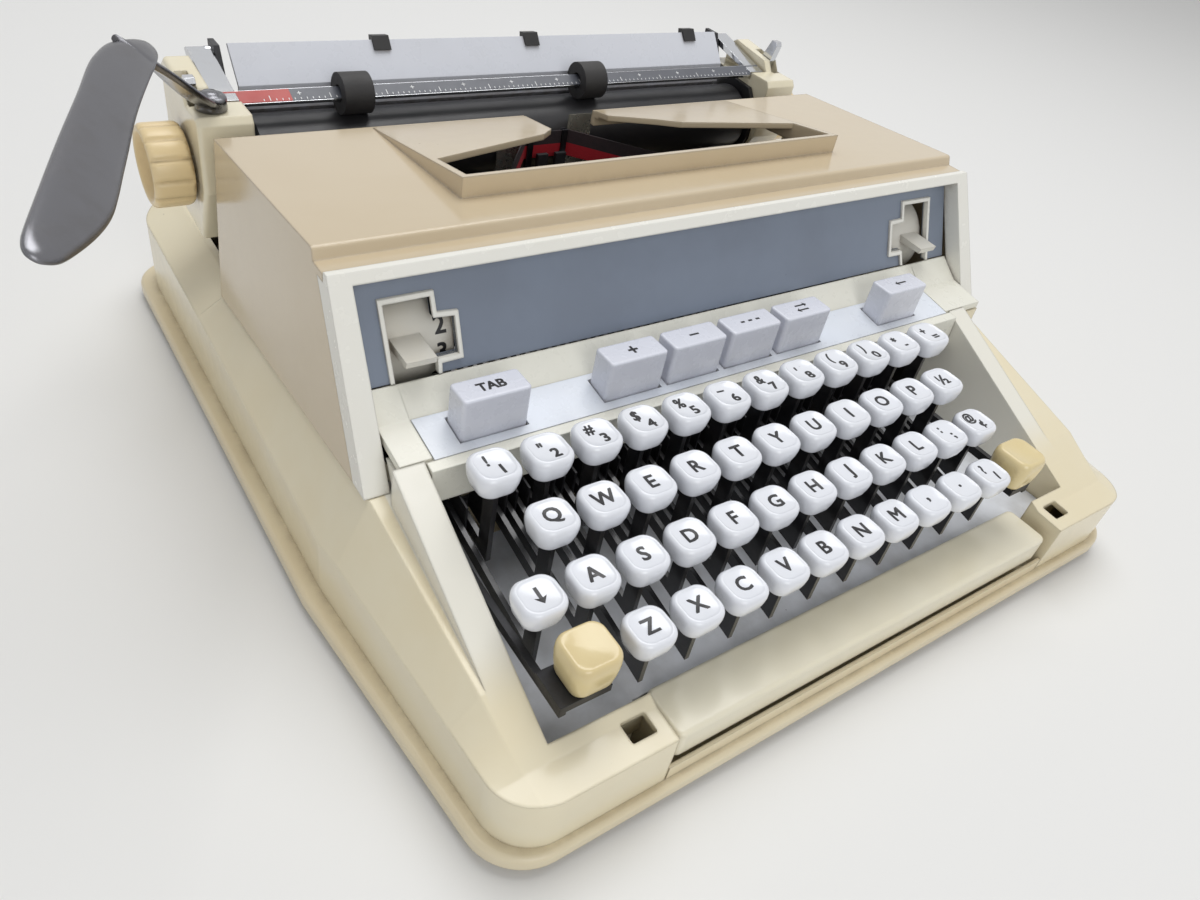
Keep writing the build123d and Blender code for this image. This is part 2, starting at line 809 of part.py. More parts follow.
def key_cap(width, depth, height, radius):
    """A dished key cap with its top centre at the origin."""
    with BuildPart(mode=Mode.PRIVATE) as cap:
        with BuildSketch(Plane.XY.offset(-height)):
            RectangleRounded(width, depth, radius)
        with BuildSketch(Plane.XY):
            RectangleRounded(width - 2 * cap_taper, depth - 2 * cap_taper, radius - cap_taper / 2)
        loft()
        with Locations((0, 0, dish_radius - dish_depth)):
            Sphere(dish_radius, mode=Mode.SUBTRACT)
    return cap.part


def key_lever(x, y, cap_bottom_z):
    """A flat lever from the pivot rod to one key, with the stem that carries its cap."""
    half = lever_depth / 2
    with BuildPart(mode=Mode.PRIVATE) as lever:
        extrude(side_face(x - lever_thickness / 2, (
            (pivot_y, pivot_z + half), (pivot_y, pivot_z - half),
            (y + stem_depth / 2, lever_z(y + stem_depth / 2) - half),
            (y - stem_depth / 2, lever_z(y - stem_depth / 2) - half),
            (y - stem_depth / 2, cap_bottom_z), (y + stem_depth / 2, cap_bottom_z),
            (y + stem_depth / 2, lever_z(y + stem_depth / 2) + half),
        )), amount=lever_thickness)
        rod(pivot_y, pivot_z, 4.0, (x - lever_thickness / 2, x + lever_thickness / 2))
        rod(pivot_y, pivot_z, pivot_radius + running_gap, (x - 2, x + 2), Mode.SUBTRACT)
    return lever.part


# Character keys, row by row; the middle key of the home row stands by itself
one_cap = key_cap(cap_width, cap_depth, cap_height, cap_radius)
centre_x = row_x[home_row] + centre_key * key_pitch
all_lever_x = [lock_x]
for row, row_name in enumerate(row_names):
    key_x = [row_x[row] + column * key_pitch for column in range(row_counts[row])]
    all_lever_x += key_x
    row_keys = [x for x in key_x if row != home_row or abs(x - centre_x) > 1]
    with BuildPart() as caps:
        with Locations(*[(x, row_y[row], row_z[row]) for x in row_keys]):
            add(one_cap)
    save(caps.part, f"{row_name}_keys")
    with BuildPart() as levers:
        for x in row_keys:
            add(key_lever(x, row_y[row], row_z[row] - cap_height))
    save(levers.part, f"{row_name}_levers")

with BuildPart() as h_key:
    with Locations((centre_x, row_y[home_row], row_z[home_row])):
        add(one_cap)
    add(key_lever(centre_x, row_y[home_row], row_z[home_row] - cap_height))
save(h_key.part, "h_key")
with BuildPart() as shift_lock_key:
    with Locations((lock_x, row_y[home_row], row_z[home_row])):
        add(one_cap)
    add(key_lever(lock_x, row_y[home_row], row_z[home_row] - cap_height))
save(shift_lock_key.part, "shift_lock_key")

# Comb behind the number row: a fin between every two key levers
fin_thickness = 0.8
comb_front_y = -87.0
comb_rear_y = well_rear_y + deck_sheet
sorted_x = sorted(all_lever_x)
fin_places = [(a + b) / 2 for a, b in zip(sorted_x, sorted_x[1:])]
with BuildPart() as lever_comb:
    block((deck_left, deck_right), (comb_rear_y, comb_rear_y + 3.5), (apron_bottom_z + 0.5, 68.0))
    for x in fin_places:
        extrude(side_face(x - fin_thickness / 2, (
            (comb_rear_y + 3.5, 68), (comb_rear_y, 61.6), (comb_front_y, 60.5),
            (comb_front_y, 47), (comb_rear_y + 3.5, 49),
        )), amount=fin_thickness)
save(lever_comb.part, "lever_comb")

# Space bar with its two arms, which turn on the front tie rod
arm_top_z = skirt_bottom_z - 1.5
with BuildPart() as space_bar:
    block((-bar_half, bar_half), (bar_front_y, bar_rear_y), (bar_bottom_z, bar_top_z))
    fillet(space_bar.edges().filter_by(Axis.Z), 3.0)
    fillet(space_bar.edges().group_by(Axis.Z)[-1], 1.6)
    for x in (-bar_arm_x, bar_arm_x):
        block((x - 1.5, x + 1.5), (bar_rear_y - 12.0, bar_pivot_y), (arm_top_z - 5.0, arm_top_z))
        rod(bar_pivot_y, bar_pivot_z, 5.0, (x - 1.5, x + 1.5))
        rod(bar_pivot_y, bar_pivot_z, tie_rod_radius + running_gap, (x - 4, x + 4), Mode.SUBTRACT)
save(space_bar.part, "space_bar")

# Shift keys and the shaft that joins them
shift_y = row_y[3]
shift_bottom_z = shift_top_z - shift_height
shift_cap = key_cap(shift_width, shift_depth, shift_height, shift_radius)
with BuildPart() as shift_keys:
    with Locations((shift_left_x, shift_y, shift_top_z), (shift_right_x, shift_y, shift_top_z)):
        add(shift_cap)
save(shift_keys.part, "shift_keys")
plate_under = 3.0
with BuildPart() as shift_levers:
    rod(shift_pivot_y, shift_pivot_z, shift_shaft_radius, (-frame_plate_x - 4, frame_plate_x + 4))
    for x in (shift_arm_left_x, shift_arm_right_x):
        rod(shift_pivot_y, shift_pivot_z, 5.0, (x - 1.2, x + 1.2))
        extrude(side_face(x - 1.2, (
            (shift_pivot_y, shift_pivot_z + 2.5), (shift_pivot_y, shift_pivot_z - 2.5),
            (shift_y - 7, shift_bottom_z - 4.5), (shift_y - 7, shift_bottom_z - 1.0),
            (shift_y + 7, shift_bottom_z - 1.0),
        )), amount=2.4)
    for near, far in (
        (shift_arm_left_x - 1.2, shift_left_x + 6.0), (shift_right_x - 6.0, shift_arm_right_x + 1.2),
    ):
        block((near, far), (shift_y - 7, shift_y + 7), (shift_bottom_z - plate_under, shift_bottom_z))
save(shift_levers.part, "shift_levers")

# Type segment: a slotted arc that holds the typebars
slot_width = typebar_thickness + 2 * running_gap
bar_angles = [step * typebar_step for step in range(-bars_left, bars_right + 1)]
segment_front_y = segment_y - segment_thickness / 2
with BuildPart() as type_segment:
    with BuildSketch(Plane.XZ.offset(-segment_y - segment_thickness / 2)):
        with Locations((0, print_z)):
            Circle(segment_outer)
            Circle(segment_inner, mode=Mode.SUBTRACT)
        with BuildLine():
            edge = 90 - segment_half_angle
            far = 2 * segment_outer
            Polyline(
                (0, print_z), (far * cos(radians(edge)), print_z - far * sin(radians(edge))),
                (far, -far), (-far, -far),
                (-far * cos(radians(edge)), print_z - far * sin(radians(edge))), close=True,
            )
        make_face(mode=Mode.INTERSECT)
    extrude(amount=segment_thickness)
    for angle in bar_angles:
        with Locations(Location((0, segment_y, print_z), (0, angle, 0))):
            with Locations((0, 0, -(segment_inner + segment_radius + 4.5) / 2)):
                Box(slot_width, segment_thickness + 2, segment_radius + 6.5 - segment_inner,
                    mode=Mode.SUBTRACT)
save(type_segment.part, "type_segment")


def typebar_part():
    """One typebar at rest, lying towards the typist below the middle of the arc."""
    low = print_z - segment_radius
    tip_y = segment_y - typebar_length
    along = Vector(0, sin(strike_angle), cos(strike_angle))
    face = Vector(0, -cos(strike_angle), sin(strike_angle))
    centre = Vector(0, tip_y, low)
    corners = [
        centre + along * (head_length / 2), centre - along * (head_length / 2),
        centre - along * (head_length / 2) - face * head_depth,
        centre + along * (head_length / 2) - face * head_depth,
    ]
    half = typebar_depth / 2
    with BuildPart(mode=Mode.PRIVATE) as bar:
        extrude(side_face(-typebar_thickness / 2, (
            (segment_y, low + half), (segment_y, low - half),
            (tip_y + 12, low - half), (corners[2].Y + 1.5, corners[2].Z + 1.0),
            (corners[3].Y - 1.5, corners[3].Z - 0.4), (tip_y + 14, low + half),
        )), amount=typebar_thickness)
        rod(segment_y, low, typebar_hub, (-typebar_thickness / 2, typebar_thickness / 2))
        extrude(
            side_face(-head_width / 2, [(corner.Y, corner.Z) for corner in corners]),
            amount=head_width,
        )
    return bar.part


# Typebars: one for each character key; the middle one moves with its key
one_bar = typebar_part().moved(Location((0, 0, -print_z)))
with BuildPart() as h_typebar:
    with Locations((0, 0, print_z)):
        add(one_bar)
save(h_typebar.part, "h_typebar")
with BuildPart() as typebars:
    for angle in bar_angles:
        if abs(angle) > 0.1:
            with Locations(Location((0, 0, print_z), (0, angle, 0))):
                add(one_bar)
save(typebars.part, "typebars")

# Type guide: an upright with a notch that steers each typebar to the print point
guide_y = 82.0
guide_thickness = 2.0
notch_half = 2.2
shoulder_top_z = 79.0
with BuildPart() as type_guide:
    block((-post_half, post_half), (guide_y, guide_y + guide_thickness), (30, shoulder_top_z))
    block((-8, 8), (guide_y, guide_y + guide_thickness), (shoulder_top_z, 95))
    block((-notch_half, notch_half), (guide_y - 1, guide_y + 4), (66, 95), Mode.SUBTRACT)
    block((-post_half, post_half), (post_y + frame_plate, guide_y), (30, 34))
save(type_guide.part, "type_guide")

# Clear card holder: two thin plates just in front of the platen
card_front_y = 90.0
card_sheet = 0.7
guide_rear_y = guide_y + guide_thickness
with BuildPart() as card_holder:
    for side in (-1, 1):
        block((side * 12.5, side * 26), (card_front_y, card_front_y + card_sheet), (76, 110))
        block((side * 12.5, side * 18), (guide_rear_y, card_front_y + card_sheet), (75, 78))
save(card_holder.part, "card_holder")

# Ribbon vibrator: a fork on each side of the print point that lifts the ribbon
vibrator_y = guide_rear_y + contact_gap
with BuildPart() as ribbon_vibrator:
    block((-11, 11), (vibrator_y, vibrator_y + 2), (56, 84))
    block((-3.2, 3.2), (vibrator_y - 1, vibrator_y + 4), (68, 90), Mode.SUBTRACT)
    for side in (-1, 1):
        span = (side * 8, side * 11)
        block(span, (vibrator_y, ribbon_print_y + 1.3), (82, 84))
        block(span, (ribbon_print_y - 1.5, ribbon_print_y - 0.7), (82, 104))
        block(span, (ribbon_print_y + 0.6, ribbon_print_y + 1.1), (82, 104))
save(ribbon_vibrator.part, "ribbon_vibrator")


def tangent_point(side, radius):
    """Where the straight ribbon meets the winding on a spool."""
    away_x = side * ribbon_print_half - side * spool_x
    away_y = ribbon_print_y - spool_y
    distance = hypot(away_x, away_y)
    turn = atan2(away_y, away_x) + side * acos(radius / distance)
    return (side * spool_x + radius * cos(turn), spool_y + radius * sin(turn))


# Ribbon: the winding on each spool and the strip that runs between them
ribbon_bottom_z = print_z - ribbon_width / 2
with BuildPart() as ribbon:
    for side, wound in ((-1, wound_left), (1, wound_right)):
        with BuildSketch(Plane.XY.offset(ribbon_bottom_z)):
            with Locations((side * spool_x, spool_y)):
                Circle(wound)
                Circle(spool_core + contact_gap, mode=Mode.SUBTRACT)
        extrude(amount=ribbon_width)
        end_x, end_y = tangent_point(side, wound - ribbon_thickness / 2)
        run = Vector(end_x - side * ribbon_print_half, end_y - ribbon_print_y)
        across = Vector(-run.Y, run.X).normalized() * (ribbon_thickness / 2)
        extrude(plan_face(ribbon_bottom_z, (
            (side * ribbon_print_half + across.X, ribbon_print_y + across.Y),
            (side * ribbon_print_half - across.X, ribbon_print_y - across.Y),
            (end_x - across.X, end_y - across.Y), (end_x + across.X, end_y + across.Y),
        )), amount=ribbon_width)
    block(
        (-ribbon_print_half, ribbon_print_half),
        (ribbon_print_y - ribbon_thickness / 2, ribbon_print_y + ribbon_thickness / 2),
        (ribbon_bottom_z, ribbon_bottom_z + ribbon_width),
    )
save(ribbon.part, "ribbon")

# Ribbon spools
for side, name in ((-1, "ribbon_spool_left"), (1, "ribbon_spool_right")):
    with BuildPart() as spool:
        with Locations((side * spool_x, spool_y, spool_bottom_z)):
            Cylinder(spool_core, spool_height, align=upright)
            Cylinder(spool_radius, 0.8, align=upright)
        with Locations((side * spool_x, spool_y, spool_bottom_z + spool_height)):
            Cylinder(spool_radius, 0.8, align=(Align.CENTER, Align.CENTER, Align.MAX))
            with PolarLocations(14.0, 5):
                Hole(3.2)
            Hole(spool_pin + running_gap)
    save(spool.part, name)


def finger_lever(drum, tab_x, tab_height):
    """Finger lever behind the panel: a drum as wide as its slot, with a tab through the slot."""
    root_y = finger_pivot_y - finger_radius + 2.5
    tip_y = -52.0
    with BuildPart(mode=Mode.PRIVATE) as lever:
        rod(finger_pivot_y, finger_pivot_z, finger_radius, drum)
        extrude(side_face(tab_x - finger_width / 2, (
            (finger_pivot_y - pivot_radius, finger_pivot_z), (root_y, tab_height - 1.6),
            (tip_y + 0.5, tab_height - 1.2), (tip_y, tab_height + 1.2), (root_y, tab_height + 1.8),
            (finger_pivot_y - pivot_radius, finger_pivot_z + 4.5),
        )), amount=finger_width)
        rod(
            finger_pivot_y, finger_pivot_z, pivot_radius + running_gap,
            (drum[0] - 1, drum[1] + 1), Mode.SUBTRACT,
        )
    return lever.part


# Touch lever on the left and ribbon selector on the right
tab_rise = 95.2
with BuildPart() as touch_lever:
    add(finger_lever(finger_left, finger_left_x, tab_rise))
save(touch_lever.part, "touch_lever")
with BuildPart() as ribbon_lever:
    add(finger_lever(finger_right, finger_right_x, tab_rise - 0.4))
save(ribbon_lever.part, "ribbon_lever")

# Rail that the carriage runs on
with BuildPart() as carriage_rail:
    block((-rail_half, rail_half), (rail_front_y, rail_rear_y), (rail_bottom_z, rail_top_z))
    fillet(carriage_rail.edges().filter_by(Axis.X).group_by(Axis.Z)[-1], 1.0)
save(carriage_rail.part, "carriage_rail")

# Bell on its post, and the spring drum that pulls the carriage
bell_x = 96.0
bell_y = 128.0
bell_radius = 14.0
bell_z = 30.0
with BuildPart() as bell:
    with Locations((bell_x, bell_y, bell_z)):
        Sphere(bell_radius, arc_size1=0)
        Sphere(bell_radius - 1.6, arc_size1=0, mode=Mode.SUBTRACT)
    with Locations((bell_x, bell_y, tray_top)):
        Cylinder(2.5, bell_z + bell_radius - 0.8 - tray_top, align=upright)
save(bell.part, "bell")
with BuildPart() as mainspring_drum:
    with Locations((drum_x, drum_y, drum_bottom_z)):
        Cylinder(drum_radius, drum_height, align=upright)
        Cylinder(drum_pin + running_gap, 3 * drum_height, mode=Mode.SUBTRACT)
    fillet(mainspring_drum.edges().group_by(Axis.Z)[-1].sort_by(SortBy.RADIUS)[-1], 1.2)
save(mainspring_drum.part, "mainspring_drum")

# Carriage frame: a channel over the rail with a plate standing at each end
channel_front_y = 97.0
channel_rear_y = 125.0
channel_bottom_z = rail_top_z + rail_gap
channel_top_z = channel_bottom_z + 3.6
lip_depth = 4.6
lip_bottom_z = 51.0
end_profile = (
    (96, channel_bottom_z), (channel_rear_y, channel_bottom_z), (143, 120), (143.5, 131), (135, 131),
    (128, 117), (112, 115), (98, 114), (90, 104), (90, 88), (96, 74),
)
with BuildPart() as carriage_frame:
    outer = side_plate_x + side_plate / 2
    block((-outer, outer), (channel_front_y, channel_rear_y), (channel_bottom_z, channel_top_z))
    for near in (rail_front_y - rail_gap, rail_rear_y + rail_gap + lip_depth):
        block((-outer, outer), (near - lip_depth, near), (lip_bottom_z, channel_bottom_z))
    for x in (-side_plate_x, side_plate_x):
        extrude(side_face(x - side_plate / 2, end_profile), amount=side_plate)
        span = (x - side_plate, x + side_plate)
        rod(platen_y, platen_z, shaft_radius + running_gap, span, Mode.SUBTRACT)
        rod(bail_pivot_y, bail_pivot_z, tie_rod_radius + running_gap, span, Mode.SUBTRACT)
    for x in (-60, 60):
        block((x - 1.5, x + 1.5), (feed_y - 5, feed_y + 5), (channel_top_z, feed_z + 5))
        rod(feed_y, feed_z, pivot_radius + running_gap, (x - 3, x + 3), Mode.SUBTRACT)
save(carriage_frame.part, "carriage_frame")

# Feed rollers below the platen
feed_spans = ((-57.8, -31.0), (31.0, 57.8))
with BuildPart() as feed_rollers:
    rod(feed_y, feed_z, pivot_radius, (-63, 63))
    for span in feed_spans:
        rod(feed_y, feed_z, feed_radius, span)
save(feed_rollers.part, "feed_rollers")

# End covers of the carriage
cover_profile = (
    (86, 118), (88, cover_top_z), (101.2, cover_top_z), (105, 126), (130, 129), (135.5, 125),
    (136, 100), (124, 66), (100, 64), (87, 90),
)
cover_inner_x = side_plate_x + side_plate / 2 + contact_gap
channel_x = 150.3
tab_pivot_y = 111.0
tab_pivot_z = 118.5
tab_pin = 1.6
tab_slot = (154.6, 159.4)
for side, name in ((-1, "left_end_cover"), (1, "right_end_cover")):
    with BuildPart() as end_cover:
        start = min(side * cover_inner_x, side * cover_outer_x)
        extrude(side_face(start, cover_profile), amount=cover_outer_x - cover_inner_x)
        outer_edges = end_cover.faces().sort_by(Axis.X)[0 if side < 0 else -1].edges()
        fillet(outer_edges, 1.8)
        block(
            (side * cover_inner_x, side * channel_x), (101.2, 140), (117.0, 135), Mode.SUBTRACT,
        )
        block((side * tab_slot[0], side * tab_slot[1]), (99, 118), (111.5, 135), Mode.SUBTRACT)
        rod(tab_pivot_y, tab_pivot_z, tab_pin, (
            min(side * tab_slot[0], side * tab_slot[1]), max(side * tab_slot[0], side * tab_slot[1]),
        ))
        rod(platen_y, platen_z, shaft_radius + contact_gap, (
            min(side * cover_inner_x, side * cover_outer_x) - 1,
            max(side * cover_inner_x, side * cover_outer_x) + 1,
        ), Mode.SUBTRACT)
        if side < 0:
            with Locations((hub_x, hub_y, cover_top_z)):
                Cylinder(2.4, hub_height + 0.9, align=upright)
    save(end_cover.part, name)


def cover_lever(side, tab_top):
    """Small lever in the slot of an end cover, with a tab above it."""
    middle = side * sum(tab_slot) / 2
    with BuildPart(mode=Mode.PRIVATE) as lever:
        rod(tab_pivot_y, tab_pivot_z, 5.0, (middle - 1.9, middle + 1.9))
        extrude(side_face(middle - 1.9, (
            (tab_pivot_y + 3, tab_pivot_z + 3.5), (tab_pivot_y - 4.5, tab_pivot_z + 1),
            (tab_pivot_y - 8, tab_top - 2), (tab_pivot_y - 7, tab_top), (tab_pivot_y - 3.5, tab_top),
        )), amount=3.8)
        rod(tab_pivot_y, tab_pivot_z, tab_pin + running_gap, (middle - 4, middle + 4), Mode.SUBTRACT)
    return lever.part


with BuildPart() as line_space_lever:
    add(cover_lever(-1, 130.0))
save(line_space_lever.part, "line_space_lever")
with BuildPart() as paper_release_lever:
    add(cover_lever(1, 136.0))
save(paper_release_lever.part, "paper_release_lever")

# Platen, its shaft and the two knobs
with BuildPart() as platen:
    rod(platen_y, platen_z, platen_radius, (-platen_half, platen_half))
    rod(platen_y, platen_z, shaft_radius, (-platen_half, platen_half), Mode.SUBTRACT)
save(platen.part, "platen")
knob_inner_x = cover_outer_x + knob_gap
knob_outer_x = knob_inner_x + knob_length
shaft_half = knob_outer_x - 4.0
with BuildPart() as platen_shaft:
    rod(platen_y, platen_z, shaft_radius, (-shaft_half, shaft_half))
save(platen_shaft.part, "platen_shaft")
knob_ribs = 30
with BuildPart() as platen_knobs:
    for side in (-1, 1):
        near = min(side * knob_inner_x, side * knob_outer_x)
        rod(platen_y, platen_z, knob_radius, (near, near + knob_length))
    fillet(platen_knobs.edges().filter_by(GeomType.CIRCLE), 1.6)
    for side in (-1, 1):
        with BuildSketch(Plane.YZ.offset(side * (knob_inner_x + 2.5))):
            with Locations((platen_y, platen_z)):
                with PolarLocations(knob_radius + 0.4, knob_ribs):
                    Circle(0.9)
        extrude(amount=side * (knob_length - 5.0), mode=Mode.SUBTRACT)
    rod(platen_y, platen_z, shaft_radius, (-shaft_half, shaft_half), Mode.SUBTRACT)
save(platen_knobs.part, "platen_knobs")

# Paper table behind the platen, with a curved pan below it
table_sheet = 1.6
pan_sheet = 1.2
with BuildPart() as paper_table:
    with BuildSketch(Plane.YZ.offset(-platen_half)):
        with Locations((platen_y, platen_z)):
            Circle(pan_radius + pan_sheet)
            Circle(pan_radius, mode=Mode.SUBTRACT)
        with BuildLine():
            Polyline(
                (platen_y, platen_z), (platen_y + 30, platen_z + 36),
                (platen_y + 40, platen_z - 10), (platen_y + 16, platen_z - 30), close=True,
            )
        make_face(mode=Mode.INTERSECT)
        with BuildLine():
            Polyline(
                (table_top_y, table_top_z), (table_foot_y, table_foot_z), (table_foot_y, 109.0),
                (table_foot_y + table_sheet, 109.0), (table_foot_y + table_sheet, table_foot_z - 0.5),
                (table_top_y + table_sheet, table_top_z - 0.8), close=True,
            )
        make_face()
        with BuildLine():
            Polyline(
                (118.4, channel_top_z), (118.4, 76.5), (120.4, 77.5), (120.4, channel_top_z), close=True,
            )
        make_face()
    extrude(amount=2 * platen_half)
save(paper_table.part, "paper_table")

# Three small clips on the top edge of the paper table
with BuildPart() as paper_guides:
    for x in (-67.0, 12.0, 114.0):
        extrude(side_face(x - 4, (
            (table_top_y - 4.2, table_top_z - 3.2), (table_top_y - 0.2, table_top_z + 1.9),
            (table_top_y + 3.4, table_top_z + 1.2), (table_top_y + 2.0, table_top_z - 4.4),
            (table_top_y + 0.8, table_top_z - 2.4),
            (table_top_y + table_sheet + 0.2, table_top_z - 0.8), (table_top_y, table_top_z + 0.2),
            (table_top_y - 3.2, table_top_z - 3.4),
        )), amount=8)
save(paper_guides.part, "paper_guides")

# Paper bail: a flat bar with an arm and a pivot pin at each end
bail_inner_x = side_plate_x + side_plate / 2 + 0.6
bail_arm = 9.4
arm_rise = (bail_pivot_z - bail_z) / (bail_pivot_y - bail_y)
with BuildPart() as paper_bail:
    with BuildSketch(Plane.YZ.offset(-bail_inner_x)):
        with Locations((bail_y, bail_z)):
            Rectangle(bail_width, bail_thickness, rotation=25)
    extrude(amount=2 * bail_inner_x)
    for side in (-1, 1):
        near = min(side * bail_inner_x, side * (bail_inner_x + bail_arm))
        extrude(side_face(near, (
            (bail_y - 3, bail_z - 1.2), (bail_y - 3, bail_z + 0.8),
            (bail_pivot_y, bail_pivot_z + 2.4), (bail_pivot_y + 3, bail_pivot_z + 1.0),
            (bail_pivot_y, bail_pivot_z - 2.4), (bail_pivot_y - 6, bail_pivot_z - 1.0 - arm_rise * 6),
        )), amount=bail_arm)
        pin = sorted((side * (side_plate_x - side_plate / 2), side * (bail_inner_x + 2.0)))
        rod(bail_pivot_y, bail_pivot_z, tie_rod_radius, pin)
save(paper_bail.part, "paper_bail")

# Rollers that hold the paper against the platen
bail_bore = hypot(bail_width, bail_thickness) / 2 + running_gap
with BuildPart() as bail_rollers:
    for x in (bail_roller_left, bail_roller_right):
        half = bail_roller_length / 2
        rod(bail_y, bail_z, bail_roller_radius, (x - half, x + half))
        rod(bail_y, bail_z, bail_bore, (x - half, x + half), Mode.SUBTRACT)
save(bail_rollers.part, "bail_rollers")

# Return lever: hub, rising arm and a rolled blade
blade_length = (blade_tip - elbow).length
blade_along = (blade_tip - elbow).normalized()
level_right = Vector(0, 0, 1).cross(blade_along).normalized()
blade_up = blade_along.cross(level_right)
blade_right = level_right * cos(radians(blade_roll)) - blade_up * sin(radians(blade_roll))
blade_normal = blade_along.cross(blade_right)
hub_z = cover_top_z + contact_gap
arm_start = Vector(hub_x - 2.0, hub_y - 4.6, hub_z + 2.0)
arm_along = (elbow - arm_start).normalized()
start_plane = Plane(origin=arm_start, x_dir=Vector(0.79, -0.62, 0), z_dir=arm_along)
elbow_plane = Plane(origin=elbow, x_dir=blade_right, z_dir=arm_along)
blade_face = elbow - blade_normal * (blade_thickness / 2)
blade_plane = Plane(origin=blade_face, x_dir=blade_along, z_dir=blade_normal)
with BuildPart() as return_lever:
    with Locations((hub_x, hub_y, hub_z)):
        Cylinder(hub_radius, hub_height, align=upright)
    with BuildSketch(start_plane):
        Rectangle(9.5, 3.0)
    with BuildSketch(elbow_plane):
        Rectangle(10.0, blade_thickness)
    loft()
    with BuildSketch(blade_plane):
        with BuildLine():
            Polyline(
                (-4, -5), (18, -7), (blade_length - 14, -7), (blade_length - 2, -3),
                (blade_length, 3), (91, 12), (74, 12), (22, 7), (-4, 5), close=True,
            )
        make_face()
    extrude(amount=blade_thickness)
    with Locations((hub_x, hub_y, hub_z)):
        Cylinder(2.4 + running_gap, 3 * hub_height, mode=Mode.SUBTRACT)
save(return_lever.part, "return_lever")
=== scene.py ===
# %% [markdown]
# A portable typewriter, dressed for its portrait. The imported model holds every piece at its
# real size; this lesson gives each piece its finish, and models again, with soft edges and
# lettering, the ones whose plain form would look cheap. The frame comes first, because each
# later cell takes its sizes from it.

# %% Load the frame
from math import cos, pi, radians, sin, sqrt

import bmesh
import bpy
from mathutils import Matrix, Vector


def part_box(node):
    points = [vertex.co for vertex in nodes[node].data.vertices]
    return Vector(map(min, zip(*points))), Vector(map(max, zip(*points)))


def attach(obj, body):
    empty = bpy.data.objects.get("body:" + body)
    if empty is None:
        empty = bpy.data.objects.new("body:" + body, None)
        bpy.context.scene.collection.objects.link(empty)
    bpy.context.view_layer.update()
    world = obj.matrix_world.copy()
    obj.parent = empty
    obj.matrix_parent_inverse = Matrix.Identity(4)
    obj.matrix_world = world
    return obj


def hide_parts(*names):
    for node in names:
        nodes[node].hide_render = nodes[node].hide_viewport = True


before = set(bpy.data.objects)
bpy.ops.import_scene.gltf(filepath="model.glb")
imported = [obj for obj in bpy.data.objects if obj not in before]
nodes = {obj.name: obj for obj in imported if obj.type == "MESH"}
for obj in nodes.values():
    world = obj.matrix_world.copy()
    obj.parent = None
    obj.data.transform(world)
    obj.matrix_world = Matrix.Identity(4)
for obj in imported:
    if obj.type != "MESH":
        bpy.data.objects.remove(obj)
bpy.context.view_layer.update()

MM = 0.001

# %% [markdown]
# Every place below is written in millimetres about the middle of the base, as on a drawing,
# because that is easier to check against a real machine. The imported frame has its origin
# elsewhere, so the base tray's own box says how far the drawing has to be moved.

# %% Drawing to frame
tray_low, tray_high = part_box("base_tray")
middle_x = (tray_low[0] + tray_high[0]) / 2


def at(x, y, z):
    """A place on the drawing, in millimetres, as a point of the frame."""
    return Vector((x * MM + middle_x, y * MM, z * MM))


print("the drawing's middle lies at x =", round(middle_x, 4))

# %% [markdown]
# The camera stands where the photographer stood: in front of the left front corner, looking
# down on the keys, with the frame turned a little. Three angles and a place say it all, and
# the lens is the main camera of a telephone, 27 mm for a frame 36 mm wide.

# %% Camera
camera_yaw = 0.7345
camera_pitch = -0.6948
camera_roll = 0.2199
camera_place = at(-242.76, -267.11, 270.59)
camera_lens = 27.0
sensor_width = 36.0


def camera_axes(yaw, pitch, roll):
    """Columns of the camera's turn: right, up and backwards."""
    ahead = Vector((sin(yaw) * cos(pitch), cos(yaw) * cos(pitch), sin(pitch)))
    level = Vector((cos(yaw), -sin(yaw), 0.0))
    upright = level.cross(ahead)
    right = level * cos(roll) + upright * sin(roll)
    up = upright * cos(roll) - level * sin(roll)
    return right, up, -ahead


camera = bpy.data.objects.new("camera", bpy.data.cameras.new("camera"))
camera.data.lens = camera_lens
camera.data.sensor_width = sensor_width
camera.data.clip_start = 0.01
turn = Matrix(camera_axes(camera_yaw, camera_pitch, camera_roll)).transposed()
camera.matrix_world = Matrix.Translation(camera_place) @ turn.to_4x4()
bpy.context.scene.collection.objects.link(camera)
bpy.context.scene.camera = camera
print("camera", [round(v, 3) for v in camera.location])

# %% [markdown]
# A product is shown on a plain pale floor under soft light. The world is a pale dome: what
# the camera and the mirrors see of it is white, and what it gives as light is dimmer, so
# that colours stay true. One wide lamp overhead and a weaker one in front, to the left, shape
# the form.

# %% Floor, world and lamps
floor_half = 3.0
floor_mesh = bpy.data.meshes.new("floor")
floor_mesh.from_pydata(
    [(x * floor_half, y * floor_half, 0.0) for x, y in ((-1, -1), (1, -1), (1, 1), (-1, 1))],
    [], [(0, 1, 2, 3)],
)
floor = bpy.data.objects.new("floor", floor_mesh)
bpy.context.scene.collection.objects.link(floor)
floor_paint = bpy.data.materials.new("floor_paint")
floor_paint.use_nodes = True
floor_shader = floor_paint.node_tree.nodes["Principled BSDF"]
floor_shader.inputs["Base Color"].default_value = (0.82, 0.82, 0.81, 1.0)
floor_shader.inputs["Roughness"].default_value = 0.7
floor.data.materials.append(floor_paint)

